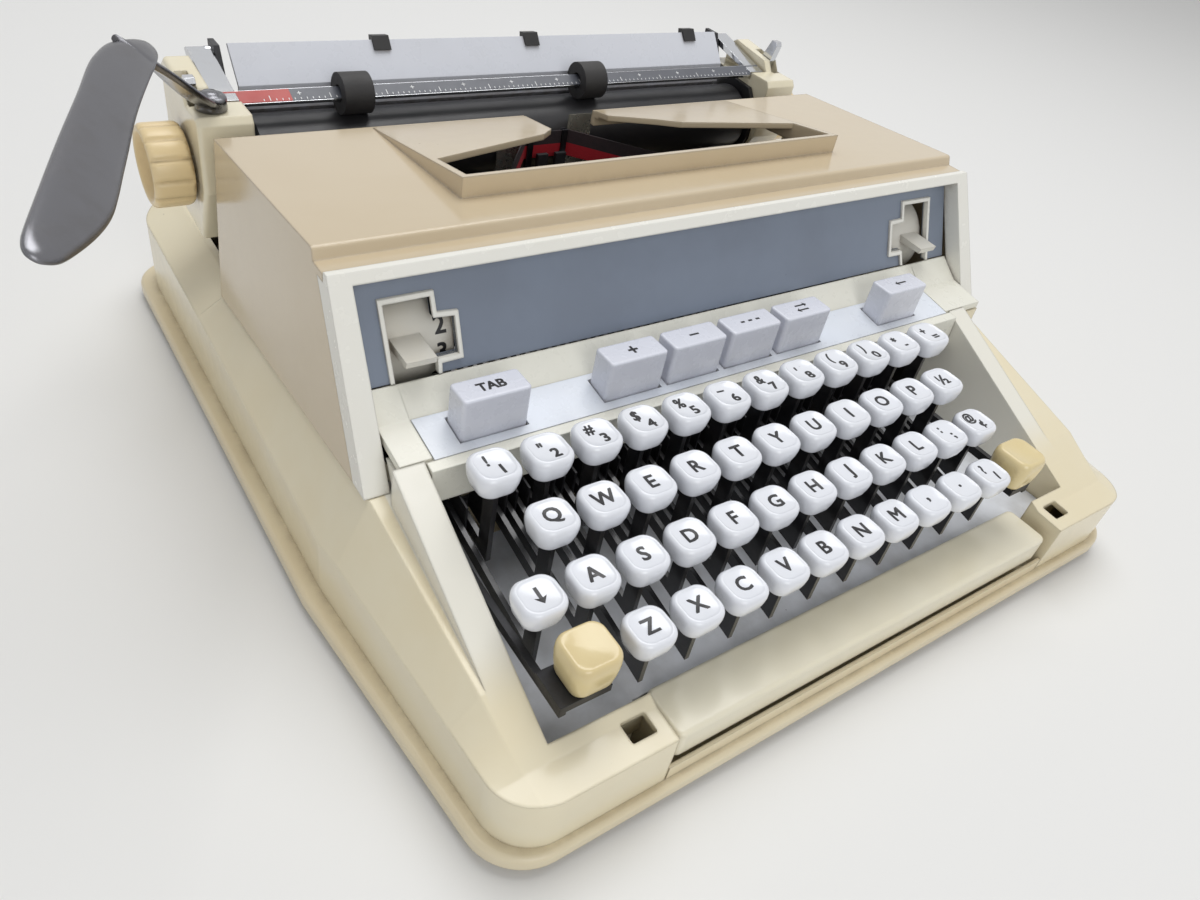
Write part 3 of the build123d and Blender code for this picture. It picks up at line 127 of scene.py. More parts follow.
dome_light = 0.5
world = bpy.data.worlds.new("pale_dome")
bpy.context.scene.world = world
world.use_nodes = True
dome = world.node_tree
dome.nodes.clear()
rays = dome.nodes.new("ShaderNodeLightPath")
seen = dome.nodes.new("ShaderNodeMath")
seen.operation = "MAXIMUM"
mirrored = dome.nodes.new("ShaderNodeMath")
mirrored.operation = "MAXIMUM"
dome.links.new(rays.outputs["Is Camera Ray"], seen.inputs[0])
dome.links.new(rays.outputs["Is Glossy Ray"], seen.inputs[1])
dome.links.new(seen.outputs[0], mirrored.inputs[0])
dome.links.new(rays.outputs["Is Transmission Ray"], mirrored.inputs[1])
strength = dome.nodes.new("ShaderNodeMapRange")
strength.inputs["To Min"].default_value = dome_light
strength.inputs["To Max"].default_value = 1.0
dome.links.new(mirrored.outputs[0], strength.inputs["Value"])
background = dome.nodes.new("ShaderNodeBackground")
dome.links.new(strength.outputs[0], background.inputs["Strength"])
dome_out = dome.nodes.new("ShaderNodeOutputWorld")
dome.links.new(background.outputs[0], dome_out.inputs["Surface"])


def lamp(name, place, aim, size, power):
    """One square area lamp that looks at a point."""
    data = bpy.data.lights.new(name, "AREA")
    data.size = size
    data.energy = power
    made = bpy.data.objects.new(name, data)
    made.location = place
    made.rotation_euler = (Vector(aim) - Vector(place)).to_track_quat("-Z", "Y").to_euler()
    bpy.context.scene.collection.objects.link(made)


aim = at(0, 0, 60)
lamp("overhead", at(250, 350, 1500), aim, 1.1, 14.0)
lamp("window", at(-350, -1500, 850), aim, 0.9, 7.5)
bpy.context.scene.view_settings.view_transform = "Standard"

# %% [markdown]
# Colours are easiest to read as a painter mixes them, in steps of 0 to 255, so a small
# helper turns such a mix into the linear values that a shader wants.

# %% Colour helper


def linear(step):
    """One sRGB step from 0 to 255 as a linear value."""
    part = step / 255
    return part / 12.92 if part <= 0.04045 else ((part + 0.055) / 1.055) ** 2.4


def tint(red, green, blue):
    """A colour written in sRGB steps, as a linear colour with full alpha."""
    return (linear(red), linear(green), linear(blue), 1.0)


print("mid grey is", [round(v, 3) for v in tint(128, 128, 128)])

# %% [markdown]
# Finishes repeat two effects: a moulded or painted skin that has yellowed in patches and
# carries specks and brown crevice dirt mixed with painted shade, and metal with drawn lines.
# Each effect is a node group with named sockets, so that one good recipe serves many pieces.
# These helpers keep the recipes short: they make a node and wire its inputs, mix and ease
# values, and open a group.

# %% Node helpers


def node(tree, kind, inputs=None, **settings):
    """Make a node; inputs may be values or other nodes' sockets."""
    made = tree.nodes.new(kind)
    for name, value in settings.items():
        setattr(made, name, value)
    for name, value in (inputs or {}).items():
        if isinstance(value, bpy.types.NodeSocket):
            tree.links.new(value, made.inputs[name])
        else:
            made.inputs[name].default_value = value
    return made


def blend_colour(tree, factor, first, second):
    """Mix two colours by a factor and give the socket of the result."""
    mix = node(tree, "ShaderNodeMix", data_type="RGBA")
    for index, value in ((0, factor), (6, first), (7, second)):
        if isinstance(value, bpy.types.NodeSocket):
            tree.links.new(value, mix.inputs[index])
        else:
            mix.inputs[index].default_value = value
    return mix.outputs[2]


def step(tree, value, low, high, start=0.0, end=1.0):
    """Ease a value from start to end as it goes from low to high."""
    ease = node(tree, "ShaderNodeMapRange", {
        "Value": value, "From Min": low, "From Max": high, "To Min": start, "To Max": end,
    }, interpolation_type="SMOOTHSTEP")
    return ease.outputs[0]


def times(tree, first, second, how="MULTIPLY"):
    """Combine two values by one arithmetic step."""
    return node(tree, "ShaderNodeMath", {0: first, 1: second}, operation=how).outputs[0]


def open_group(name, inputs, outputs):
    """A new node group with the named sockets; gives the tree and its two end nodes."""
    tree = bpy.data.node_groups.new(name, "ShaderNodeTree")
    for kind, sockets in (("INPUT", inputs), ("OUTPUT", outputs)):
        for socket, value in sockets.items():
            shape = "NodeSocketColor" if isinstance(value, tuple) else "NodeSocketFloat"
            made = tree.interface.new_socket(name=socket, in_out=kind, socket_type=shape)
            if kind == "INPUT":
                made.default_value = value
    return tree, tree.nodes.new("NodeGroupInput"), tree.nodes.new("NodeGroupOutput")


white = (1.0, 1.0, 1.0, 1.0)
print("node helpers ready")

# %% [markdown]
# Old moulded plastic is never one colour. Light and heat yellow it in wide soft patches,
# tiny black specks sit in the moulding, and the corners are darkened towards a brown that is
# partly dirt and partly painted shade. Patches come from a broad noise, specks from the cell
# centres of a Voronoi pattern thinned out by a second noise, and the darkened corners from
# ambient occlusion, which measures how closed in a point is: where little light reaches, the
# shade is painted into the colour. A fine noise gives the grain of the mould.

# %% Aged moulding group
patch_edge = (0.36, 0.66)
corner_edge = (0.35, 0.85)
smear_edge = (0.2, 0.7)
speck_share = (0.68, 0.7)
speck_edge = (0.03, 0.06)
speck_colour = tint(60, 46, 34)
wiped_range = (0.3, 0.75, -0.02, 0.05)
corner_dulls = 0.4
moulding, socket_in, socket_out = open_group(
    "aged_moulding",
    {"Base": white, "Aged": white, "Dirt And Shade": white, "Patch Scale": 14.0, "Patch Amount": 0.6,
     "Specks": 0.5, "Crevice": 0.5, "Roughness": 0.3, "Grain": 1.0},
    {"Color": white, "Roughness": 0.0, "Height": 0.0},
)
place = node(moulding, "ShaderNodeTexCoord").outputs["Object"]
broad = node(moulding, "ShaderNodeTexNoise", {
    "Vector": place, "Scale": socket_in.outputs["Patch Scale"], "Detail": 4.0, "Roughness": 0.6,
}).outputs[0]
patch = times(moulding, step(moulding, broad, *patch_edge), socket_in.outputs["Patch Amount"])
colour = blend_colour(moulding, patch, socket_in.outputs["Base"], socket_in.outputs["Aged"])
# Ambient occlusion finds closed-in points; below it masks painted shade mixed with dirt.
closed = node(moulding, "ShaderNodeAmbientOcclusion", {"Distance": 0.006}, samples=4).outputs["AO"]
smear = node(moulding, "ShaderNodeTexNoise", {
    "Vector": place, "Scale": 160.0, "Detail": 3.0, "Roughness": 0.6,
}).outputs[0]
corner = times(
    moulding, step(moulding, closed, *corner_edge, 1.0, 0.0), socket_in.outputs["Crevice"],
)
corner = times(moulding, corner, step(moulding, smear, *smear_edge))
# Painted shade mixed with dirt: closed-in corners and crevices are darkened towards the brown
# colour.
colour = blend_colour(moulding, corner, colour, socket_in.outputs["Dirt And Shade"])
cells = node(moulding, "ShaderNodeTexVoronoi", {
    "Vector": place, "Scale": 130.0,
}).outputs["Distance"]
thinned = step(moulding, node(moulding, "ShaderNodeTexNoise", {
    "Vector": place, "Scale": 75.0, "Detail": 0.0,
}).outputs[0], *speck_share)
speck = times(moulding, step(moulding, cells, *speck_edge, 1.0, 0.0), thinned)
speck = times(moulding, speck, socket_in.outputs["Specks"])
colour = blend_colour(moulding, speck, colour, speck_colour)
moulding.links.new(colour, socket_out.inputs["Color"])
wiped = step(moulding, smear, *wiped_range)
moulding.links.new(
    times(moulding, times(moulding, socket_in.outputs["Roughness"], wiped, "ADD"),
          times(moulding, corner, corner_dulls), "ADD"),
    socket_out.inputs["Roughness"],
)
grain = node(moulding, "ShaderNodeTexNoise", {
    "Vector": place, "Scale": 1800.0, "Detail": 1.0,
}).outputs[0]
moulding.links.new(times(moulding, grain, socket_in.outputs["Grain"]), socket_out.inputs["Height"])
print("group", moulding.name, "nodes", len(moulding.nodes))

# %% [markdown]
# Drawn or ground metal shows fine lines along the direction in which it was worked. A noise
# that is stretched a hundredfold along one axis gives such lines; they change the gloss more
# than the colour. A second, round noise adds the dull spots that fingers and oil leave.

# %% Worked metal group
drawn_scale = (12.0, 1400.0, 1400.0)
spot_edge = (0.45, 0.7)
line_gloss = 0.35
spot_gloss = 0.22
metalwork, socket_in, socket_out = open_group(
    "worked_metal",
    {"Base": white, "Dull": white, "Roughness": 0.3, "Lines": 0.5, "Spots": 0.5},
    {"Color": white, "Roughness": 0.0, "Height": 0.0},
)
place = node(metalwork, "ShaderNodeTexCoord").outputs["Object"]
stretch = node(metalwork, "ShaderNodeMapping", {"Vector": place, "Scale": drawn_scale})
lines = node(metalwork, "ShaderNodeTexNoise", {
    "Vector": stretch.outputs[0], "Scale": 1.0, "Detail": 2.0,
}).outputs[0]
lines = times(metalwork, times(metalwork, lines, 0.5, "SUBTRACT"), socket_in.outputs["Lines"])
spots = node(metalwork, "ShaderNodeTexNoise", {
    "Vector": place, "Scale": 60.0, "Detail": 5.0, "Roughness": 0.65,
}).outputs[0]
spots = times(metalwork, step(metalwork, spots, *spot_edge), socket_in.outputs["Spots"])
metalwork.links.new(
    blend_colour(metalwork, spots, socket_in.outputs["Base"], socket_in.outputs["Dull"]),
    socket_out.inputs["Color"],
)
gloss = times(
    metalwork, socket_in.outputs["Roughness"], times(metalwork, lines, line_gloss), "ADD",
)
metalwork.links.new(
    times(metalwork, gloss, times(metalwork, spots, spot_gloss), "ADD"),
    socket_out.inputs["Roughness"],
)
metalwork.links.new(lines, socket_out.inputs["Height"])
print("group", metalwork.name, "nodes", len(metalwork.nodes))

# %% [markdown]
# A finish is one material: a Principled shader, one of the groups for its colour, gloss and
# fine relief, and a Bevel node. Real edges are never sharp; each has a small radius that
# catches the light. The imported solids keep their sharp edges, and the Bevel node rounds
# the shading over them, so that every seam gets its thin highlight.

# %% Finish builders
relief_depth = 0.0001


def start_finish(name, edge, group, values, metallic, relief):
    """One material with its group, bevel and bump; the edge's radius is in millimetres."""
    made = bpy.data.materials.new(name)
    made.use_nodes = True
    tree = made.node_tree
    shader = tree.nodes["Principled BSDF"]
    shader.inputs["Metallic"].default_value = metallic
    recipe = node(tree, "ShaderNodeGroup", node_tree=group)
    for socket, value in values.items():
        recipe.inputs[socket].default_value = value
    rounded = node(tree, "ShaderNodeBevel", {"Radius": edge * MM}, samples=4)
    bump = node(tree, "ShaderNodeBump", {
        "Strength": relief, "Distance": relief_depth, "Height": recipe.outputs["Height"],
        "Normal": rounded.outputs[0],
    })
    tree.links.new(bump.outputs[0], shader.inputs["Normal"])
    tree.links.new(recipe.outputs["Color"], shader.inputs["Base Color"])
    tree.links.new(recipe.outputs["Roughness"], shader.inputs["Roughness"])
    return made


# The dirt colour and the crevice amount set how far closed-in corners are darkened: brown dirt
# mixed with painted shade.
def plastic(name, base, aged, rough, edge=0.8, patches=0.5, specks=0.4, crevice=0.6,
            dirt=(120, 96, 66), patch_scale=14.0, grain=0.1, relief=0.05):
    """Moulded plastic that has aged."""
    return start_finish(name, edge, moulding, {
        "Base": tint(*base), "Aged": tint(*aged), "Dirt And Shade": tint(*dirt), "Patch Scale": patch_scale,
        "Patch Amount": patches, "Specks": specks, "Crevice": crevice, "Roughness": rough,
        "Grain": grain,
    }, 0.0, relief)


def metal(name, base, dull, rough, edge=0.4, lines=0.5, spots=0.5, metallic=1.0, relief=0.2):
    """Worked, plated or lacquered metal."""
    return start_finish(name, edge, metalwork, {
        "Base": tint(*base), "Dull": tint(*dull), "Roughness": rough, "Lines": lines,
        "Spots": spots,
    }, metallic, relief)


print("finish builders ready")

# %% [markdown]
# Now the finishes themselves, one for each slot of the record. The large shells have aged
# most: the case to a warm cream, the hood to a deeper tan. The keys are a colder, whiter
# plastic that was moulded in two shots, so their lettering never wore off.

# %% Plastics
finishes = {
    "cream_plastic": plastic("cream_plastic", (231, 222, 195), (225, 210, 173), 0.18, edge=1.4,
                             patches=0.4, crevice=0.35),
    "base_plastic": plastic("base_plastic", (226, 214, 184), (212, 194, 158), 0.3, edge=0.8,
                            patches=0.4, crevice=0.5, dirt=(120, 98, 72)),
    "hood_plastic": plastic("hood_plastic", (207, 191, 163), (199, 181, 149), 0.16, edge=1.2,
                            patches=0.4, patch_scale=9.0, specks=0.3, crevice=0.3),
    "frame_plastic": plastic("frame_plastic", (236, 235, 228), (230, 225, 206), 0.24, edge=0.8,
                             patches=0.15),
    "cover_plastic": plastic("cover_plastic", (232, 224, 198), (224, 209, 172), 0.2, edge=1.5,
                             patches=0.4, crevice=0.35),
    "key_plastic": plastic("key_plastic", (230, 233, 240), (222, 222, 222), 0.2, edge=0.4,
                           patches=0.1, specks=0.15, crevice=0.25, dirt=(150, 140, 120),
                           patch_scale=60.0, grain=0.2),
    "shift_plastic": plastic("shift_plastic", (222, 204, 154), (214, 191, 140), 0.22, edge=0.5,
                             specks=0.3, patch_scale=40.0, grain=0.3),
    "function_plastic": plastic("function_plastic", (218, 221, 232), (218, 218, 220), 0.26,
                                edge=0.8, patches=0.08, specks=0.1, crevice=0.2),
    "bar_plastic": plastic("bar_plastic", (232, 226, 204), (226, 216, 186), 0.22, edge=1.4,
                           patches=0.3, patch_scale=22.0, specks=0.35, crevice=0.3),
    "knob_plastic": plastic("knob_plastic", (232, 210, 164), (220, 194, 146), 0.3, edge=0.6,
                            crevice=0.9, dirt=(120, 96, 60)),
    "finger_plastic": plastic("finger_plastic", (216, 214, 206), (222, 208, 176), 0.3, edge=0.6,
                              patches=0.3),
    "black_plastic": plastic("black_plastic", (26, 26, 28), (40, 38, 36), 0.4, edge=0.4,
                             specks=0.0, crevice=0.0, patches=0.4, patch_scale=120.0),
    "clear_plastic": plastic("clear_plastic", (226, 228, 222), (206, 200, 180), 0.12, edge=0.2,
                             specks=0.2),
}
print("plastics", len(finishes))

# %% Paints, rubber and metals
finishes.update({
    "panel_metal": plastic("panel_metal", (126, 136, 152), (116, 124, 138), 0.34, edge=0.3,
                           patches=0.5, patch_scale=20.0, specks=0.2, crevice=0.4,
                           dirt=(60, 58, 56), grain=0.4, relief=0.1),
    "deck_metal": plastic("deck_metal", (232, 231, 220), (224, 219, 198), 0.28, edge=0.8,
                          patches=0.15, crevice=0.3),
    "white_plate": plastic("white_plate", (228, 234, 244), (220, 222, 222), 0.28, edge=0.3,
                           specks=0.2, patches=0.3, crevice=0.3),
    "floor_metal": plastic("floor_metal", (216, 219, 225), (190, 191, 193), 0.45, edge=0.2,
                           patches=0.7, patch_scale=50.0, specks=0.8, dirt=(40, 36, 32)),
    "table_metal": plastic("table_metal", (214, 217, 225), (204, 206, 212), 0.28, edge=0.3,
                           patches=0.4, specks=0.25),
    "rubber": plastic("rubber", (34, 33, 34), (52, 50, 49), 0.62, edge=0.6, patch_scale=80.0,
                      specks=0.0, crevice=0.0, grain=2.0, relief=0.4),
    "platen_rubber": plastic("platen_rubber", (30, 30, 33), (48, 47, 48), 0.36, edge=0.4,
                             patch_scale=30.0, specks=0.2, crevice=0.0, grain=1.0, relief=0.2),
    "ribbon_fabric": plastic("ribbon_fabric", (34, 26, 30), (58, 40, 42), 0.8, edge=0.1,
                             patch_scale=90.0, specks=0.0, crevice=0.0, grain=3.0, relief=0.6),
    "steel_screw": metal("steel_screw", (178, 178, 176), (120, 112, 100), 0.32),
    "frame_steel": metal("frame_steel", (46, 46, 49), (34, 32, 30), 0.4, metallic=0.4, spots=0.8),
    "type_steel": metal("type_steel", (150, 150, 152), (84, 78, 72), 0.34, spots=0.7),
    "chrome": metal("chrome", (206, 208, 212), (168, 166, 162), 0.12, lines=0.1, spots=0.4),
    "lever_metal": metal("lever_metal", (122, 122, 126), (106, 104, 104), 0.17, lines=0.25,
                         spots=0.3, metallic=1.0, edge=1.6, relief=0.05),
    "lever_steel": metal("lever_steel", (30, 30, 33), (54, 50, 47), 0.32, lines=0.4,
                         metallic=0.2, edge=0.3),
    "spool_metal": metal("spool_metal", (72, 72, 76), (50, 47, 45), 0.36, spots=0.6),
})
print("finishes", len(finishes))

# %% [markdown]
# The ridges beside the keys are whiter than the flanks. The case's finish gets a second coat
# that is masked by place: a smooth step at each ridge's outer edge, one at the front and one
# behind, all in the part's own coordinates.

# %% Whiter ridges
ridge_left_x = -153.6
ridge_right_x = 138.4
ridge_fade = (-150.0, -128.0)
ridge_stop = (-66.0, -62.0)
ridge_white = 0.75
shell = finishes["cream_plastic"].node_tree
shell_recipe = next(n for n in shell.nodes if n.type == "GROUP")
axes = node(shell, "ShaderNodeSeparateXYZ", {
    0: node(shell, "ShaderNodeTexCoord").outputs["Object"],
})
left_edge = at(ridge_left_x, 0, 0).x
right_edge = at(ridge_right_x, 0, 0).x
soft = 0.4 * MM
inside = times(
    shell, step(shell, axes.outputs[0], left_edge - soft, left_edge + soft),
    step(shell, axes.outputs[0], right_edge - soft, right_edge + soft, 1.0, 0.0),
)
inside = times(shell, inside, step(shell, axes.outputs[1], ridge_fade[0] * MM, ridge_fade[1] * MM))
inside = times(shell, inside, step(
    shell, axes.outputs[1], ridge_stop[0] * MM, ridge_stop[1] * MM, 1.0, 0.0,
))
whitened = blend_colour(
    shell, times(shell, inside, ridge_white), shell_recipe.outputs["Color"], tint(232, 232, 226),
)
shell.links.new(whitened, shell.nodes["Principled BSDF"].inputs["Base Color"])
print("ridge mask between", round(left_edge, 4), "and", round(right_edge, 4))

# %% [markdown]
# Some finishes need a little more. A coat gives polished pieces their second, sharper
# reflection, and the clear card holder lets light through: values that are the same all
# over, so they go straight on the shader. The ribbon is black above and red below, parted
# by height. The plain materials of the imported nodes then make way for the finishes.

# %% Shader extras
coat_roughness = 0.12
ink_border = 0.1
red_ink = tint(168, 24, 38)
clear_share = 0.85
clear_index = 1.49
for slot_name, coat in (("key_plastic", 0.5), ("cover_plastic", 0.4), ("shift_plastic", 0.4),
                        ("function_plastic", 0.25), ("bar_plastic", 0.3), ("hood_plastic", 0.25),
                        ("lever_steel", 0.5)):
    shader = finishes[slot_name].node_tree.nodes["Principled BSDF"]
    shader.inputs["Coat Weight"].default_value = coat
    shader.inputs["Coat Roughness"].default_value = coat_roughness
ribbon_low, ribbon_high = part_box("ribbon")
cloth = finishes["ribbon_fabric"].node_tree
ribbon_middle = (ribbon_low[2] + ribbon_high[2]) / 2
depth = node(cloth, "ShaderNodeSeparateXYZ", {
    0: node(cloth, "ShaderNodeTexCoord").outputs["Object"],
}).outputs[2]
lower = step(
    cloth, depth, ribbon_middle - ink_border * MM, ribbon_middle + ink_border * MM, 1.0, 0.0,
)
cloth_recipe = next(n for n in cloth.nodes if n.type == "GROUP")
two_inks = blend_colour(cloth, lower, cloth_recipe.outputs["Color"], red_ink)
cloth.links.new(two_inks, cloth.nodes["Principled BSDF"].inputs["Base Color"])
clear = finishes["clear_plastic"].node_tree.nodes["Principled BSDF"]
clear.inputs["Transmission Weight"].default_value = clear_share
clear.inputs["IOR"].default_value = clear_index
for thing in nodes.values():
    for slot_place in thing.material_slots:
        plain = slot_place.material.name.split(".")[0] if slot_place.material else None
        if plain in finishes and slot_place.material is not finishes[plain]:
            slot_place.material = finishes[plain]
print("packed material slots", sum(len(thing.material_slots) for thing in nodes.values()), "slots")

# %% [markdown]
# New pieces are built from lists of points and faces. One helper turns such lists into a
# smooth object, gives it a finish, says which body of the machine it rides on, and hides the
# imported nodes it stands for. Ink has no slot of its own in the record.


def piece(name, points, faces, slot, body, replaced=(), flat=False):
    """One new piece from points and faces, with its finish, body and the nodes it replaces."""
    mesh = bpy.data.meshes.new(name)
    mesh.from_pydata([tuple(p) for p in points], [], faces)
    mesh.validate()
    shape = bmesh.new()
    shape.from_mesh(mesh)
    bmesh.ops.recalc_face_normals(shape, faces=shape.faces)
    shape.to_mesh(mesh)
    shape.free()
    for face in mesh.polygons:
        face.use_smooth = not flat
    mesh.materials.append(finishes[slot])
    made = bpy.data.objects.new(name, mesh)
    bpy.context.scene.collection.objects.link(made)
    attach(made, body)
    if replaced:
        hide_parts(*replaced)
    print(name, "faces", len(mesh.polygons))
    return made


def placed(points, x, y, z):
    """Points about an own middle, moved to a place on the drawing."""
    return [at(px + x, py + y, pz + z) for px, py, pz in points]


def prism_faces(count):
    """Faces of a solid between two outlines with the same number of points."""
    faces = [tuple(reversed(range(count))), tuple(range(count, 2 * count))]
    faces += [(i, (i + 1) % count, count + (i + 1) % count, count + i) for i in range(count)]
    return faces


def rings_to_faces(ring_count, around, first=0, cap_start=True, cap_end=True):
    """Quads between successive rings of points, with a face on each end."""
    faces = []
    for ring in range(ring_count - 1):
        for i in range(around):
            j = (i + 1) % around
            base = first + ring * around
            faces.append((base + i, base + j, base + around + j, base + around + i))
    if cap_start:
        faces.append(tuple(reversed(range(first, first + around))))
    if cap_end:
        last = first + (ring_count - 1) * around
        faces.append(tuple(range(last, last + around)))
    return faces


def rounded_ring(half_x, half_y, radius, z, corner_steps=7):
    """Points of a rounded rectangle at one height, in millimetres."""
    ring = []
    for quarter, (side_x, side_y) in enumerate(((1, 1), (-1, 1), (-1, -1), (1, -1))):
        for i in range(corner_steps + 1):
            angle = (quarter + i / corner_steps) * pi / 2
            ring.append((side_x * (half_x - radius) + radius * cos(angle),
                         side_y * (half_y - radius) + radius * sin(angle), z))
    return ring


print("piece helpers ready")

# %% [markdown]
# A key cap is a block with round corners whose sides draw in upwards, with a soft shoulder
# and a dished top that centres the finger. It is a stack of rounded rectangles: each ring
# has its own size and height, and the last few sink into the dish. One list of rings makes
# every cap, so all keys agree.

# %% Key cap shape
key_pitch = 19.05
row_step = 19.05
row_fall = 8.85
cap_width = 15.4
cap_depth = 15.2
cap_height = 8.8
cap_corner = 4.9
dish_deep = 0.95
dish_curve = 30.0
cap_profile = (
    (-1.0, 1.9), (-0.97, 1.3), (-0.9, 0.95), (-0.6, 0.3), (-0.34, 0.0), (-0.18, 0.06),
    (-0.09, 0.3), (-0.03, 0.75), (-0.005, 1.15), (0.0, 1.5),
)
dish_rings = (0.96, 0.88, 0.7, 0.45, 0.2, 0.06)
least_corner = 1.2


def dish_z(x, y):
    """Height of the dished top at a place on the cap, below the top of its rim."""
    return min(0.0, (x * x + y * y) / (2 * dish_curve) - dish_deep)


def cap_shape(width, depth, height, corner):
    """Rings of one cap about its own top centre; gives the points and the faces."""
    points = []
    count = 0
    for level, inset in cap_profile:
        radius = max(least_corner, corner - inset * 0.5)
        points += rounded_ring(width / 2 - inset, depth / 2 - inset, radius, level * height)
        count += 1
    rim = cap_profile[-1][1]
    for share in dish_rings:
        ring = rounded_ring((width / 2 - rim) * share, (depth / 2 - rim) * share,
                            (corner - rim * 0.5) * share, 0.0)
        points += [(x, y, dish_z(x, y)) for x, y, _ in ring]
        count += 1
    around = len(points) // count
    return points, rings_to_faces(count, around)


one_cap, cap_faces = cap_shape(cap_width, cap_depth, cap_height, cap_corner)
print("a cap has", len(one_cap), "points")

# %% [markdown]
# The lettering of a typewriter key is moulded right through the cap in black plastic, so it
# is flush and keeps to the dish. Here each sign starts as a text outline, is turned into a
# thin solid, and every point of it is laid on the dish. It is struck four times, a little
# apart, which makes it bold. The signs of one row are one piece that rides with its levers.

# %% Legend helper
finishes["legend_ink"] = plastic("legend_ink", (22, 22, 26), (34, 32, 34), 0.3, edge=0.05,
                                 specks=0.0, crevice=0.0, patches=0.4, patch_scale=200.0)
sign_thickness = 0.12
sign_lift = 0.02
strike_gap = 0.002
arrow_barb = (1.9, 1.5)
arrow_notch = 1.6
shaft_half = 0.42
arrow_levels = (-0.04, 0.08)


def sign(text, size, weight=0.17):
    """Points and faces of a thin sign, centred in the XY plane, in mm, struck bold."""
    curve = bpy.data.curves.new("sign", "FONT")
    curve.body = text
    curve.size = size
    curve.align_x = "CENTER"
    curve.align_y = "CENTER"
    curve.resolution_u = 3
    curve.extrude = sign_thickness / 2
    holder = bpy.data.objects.new("sign", curve)
    bpy.context.scene.collection.objects.link(holder)
    bpy.context.view_layer.update()
    drawn = bpy.data.meshes.new_from_object(holder.evaluated_get(
        bpy.context.evaluated_depsgraph_get()))
    low_y = min(v.co.y for v in drawn.vertices)
    high_y = max(v.co.y for v in drawn.vertices)
    low_x = min(v.co.x for v in drawn.vertices)
    high_x = max(v.co.x for v in drawn.vertices)
    strikes = []
    faces = [tuple(face.vertices) for face in drawn.polygons]
    for level, (shift_x, shift_y) in enumerate(((-1, -1), (1, -1), (1, 1), (-1, 1))):
        strikes.append(([
            (v.co.x - (low_x + high_x) / 2 + shift_x * weight,
             v.co.y - (low_y + high_y) / 2 + shift_y * weight, v.co.z + level * strike_gap)
            for v in drawn.vertices
        ], faces))
    bpy.data.objects.remove(holder)
    bpy.data.meshes.remove(drawn)
    bpy.data.curves.remove(curve)
    return gather(strikes)


def gather(parts):
    """Join lists of (points, faces) into one."""
    points = []
    faces = []
    for some_points, some_faces in parts:
        shift = len(points)
        points += some_points
        faces += [tuple(i + shift for i in face) for face in some_faces]
    return points, faces


def arrow_sign(reach, size, turned, dx=0.0, dy=0.0):
    """A thin straight arrow about its own middle, turned by an angle in degrees."""
    barb_x, barb_y = reach - arrow_barb[0] * size, arrow_barb[1] * size
    notch_x, half = reach - arrow_notch * size, shaft_half * size
    outline = ((reach, 0.0), (barb_x, barb_y), (notch_x, half), (-reach, half),
               (-reach, -half), (notch_x, -half), (barb_x, -barb_y))
    c, s = cos(radians(turned)), sin(radians(turned))
    points = [(x * c - y * s + dx, x * s + y * c + dy, z)
              for z in arrow_levels for x, y in outline]
    return points, prism_faces(len(outline))


def on_cap(text, size, dx, dy, x, y, z):
    """One sign laid on the dish of the cap whose top centre is given."""
    points, faces = sign(text, size)
    laid = [at(px + dx + x, py + dy + y, pz + z + dish_z(px + dx, py + dy) + sign_lift)
            for px, py, pz in points]
    return laid, faces


print("a sign has", len(sign("8", 6.0)[0]), "points")

# %% Character keys, row by row
cap_top_z = 87.7
number_y = -96.5
number_x = -129.4
row_shifts = (0.0, 10.7, 14.8, 24.5)
row_signs = {
    "number_row": "!1 \"2 #3 $4 %5 _6 &7 '8 (9 )0 *- +=".split(),
    "top_row": "Q W E R T Y U I O P ½".split(),
    "home_row": "A S D F G H J K L :; @¢".split(),
    "bottom_row": "Z X C V B N M , . ?/".split(),
}
letter_size = 7.8
small_size = 6.0
upper_sign = (-1.8, 2.4)
lower_sign = (1.5, -2.4)
single_sign = (0.0, 0.2)
home = 2
h_column = 5


def key_signs(text, x, y, z):
    """The sign or pair of signs of one key."""
    if len(text) == 2:
        return [on_cap(text[0], small_size, *upper_sign, x, y, z),
                on_cap(text[1], small_size, *lower_sign, x, y, z)]
    return [on_cap(text, letter_size, *single_sign, x, y, z)]


for row, (row_name, texts) in enumerate(row_signs.items()):
    y = number_y - row * row_step
    z = cap_top_z - row * row_fall
    caps = []
    signs = []
    for column, text in enumerate(texts):
        x = number_x + row_shifts[row] + column * key_pitch
        if text != "H":
            caps.append((placed(one_cap, x, y, z), cap_faces))
            signs += key_signs(text, x, y, z)
    piece(f"{row_name}_caps", *gather(caps), "key_plastic", row_name, [f"{row_name}_keys"])
    piece(f"{row_name}_signs", *gather(signs), "legend_ink", row_name)

# %% [markdown]
# The H key and the shift lock are nodes of their own that hold cap and lever in one. Each is
# drawn again as a white cap and a black lever: a flat blade from the pivot rod to the stem
# below the cap, with its corners broken.

# %% The keys that stand alone
lever_pivot = (-8.0, 66.0)
lever_half = 2.5
front_lever_z = 39.0
lever_fall = (lever_pivot[1] - front_lever_z) / (-number_y + 3 * row_step + lever_pivot[0])
tail_length = 3.0
tail_half = 2.0
stem_half = 3.0
stem_rise = 0.4
blade_half = 0.9
shift_lock_x = -133.7
lock_arrow = (3.2, 1.4, -90)


def blade_solid(outline, x_low, x_high):
    """A flat blade between two X places, from its outline in Y and Z."""
    points = [at(x, y, z) for x in (x_low, x_high) for y, z in outline]
    return points, prism_faces(len(outline))


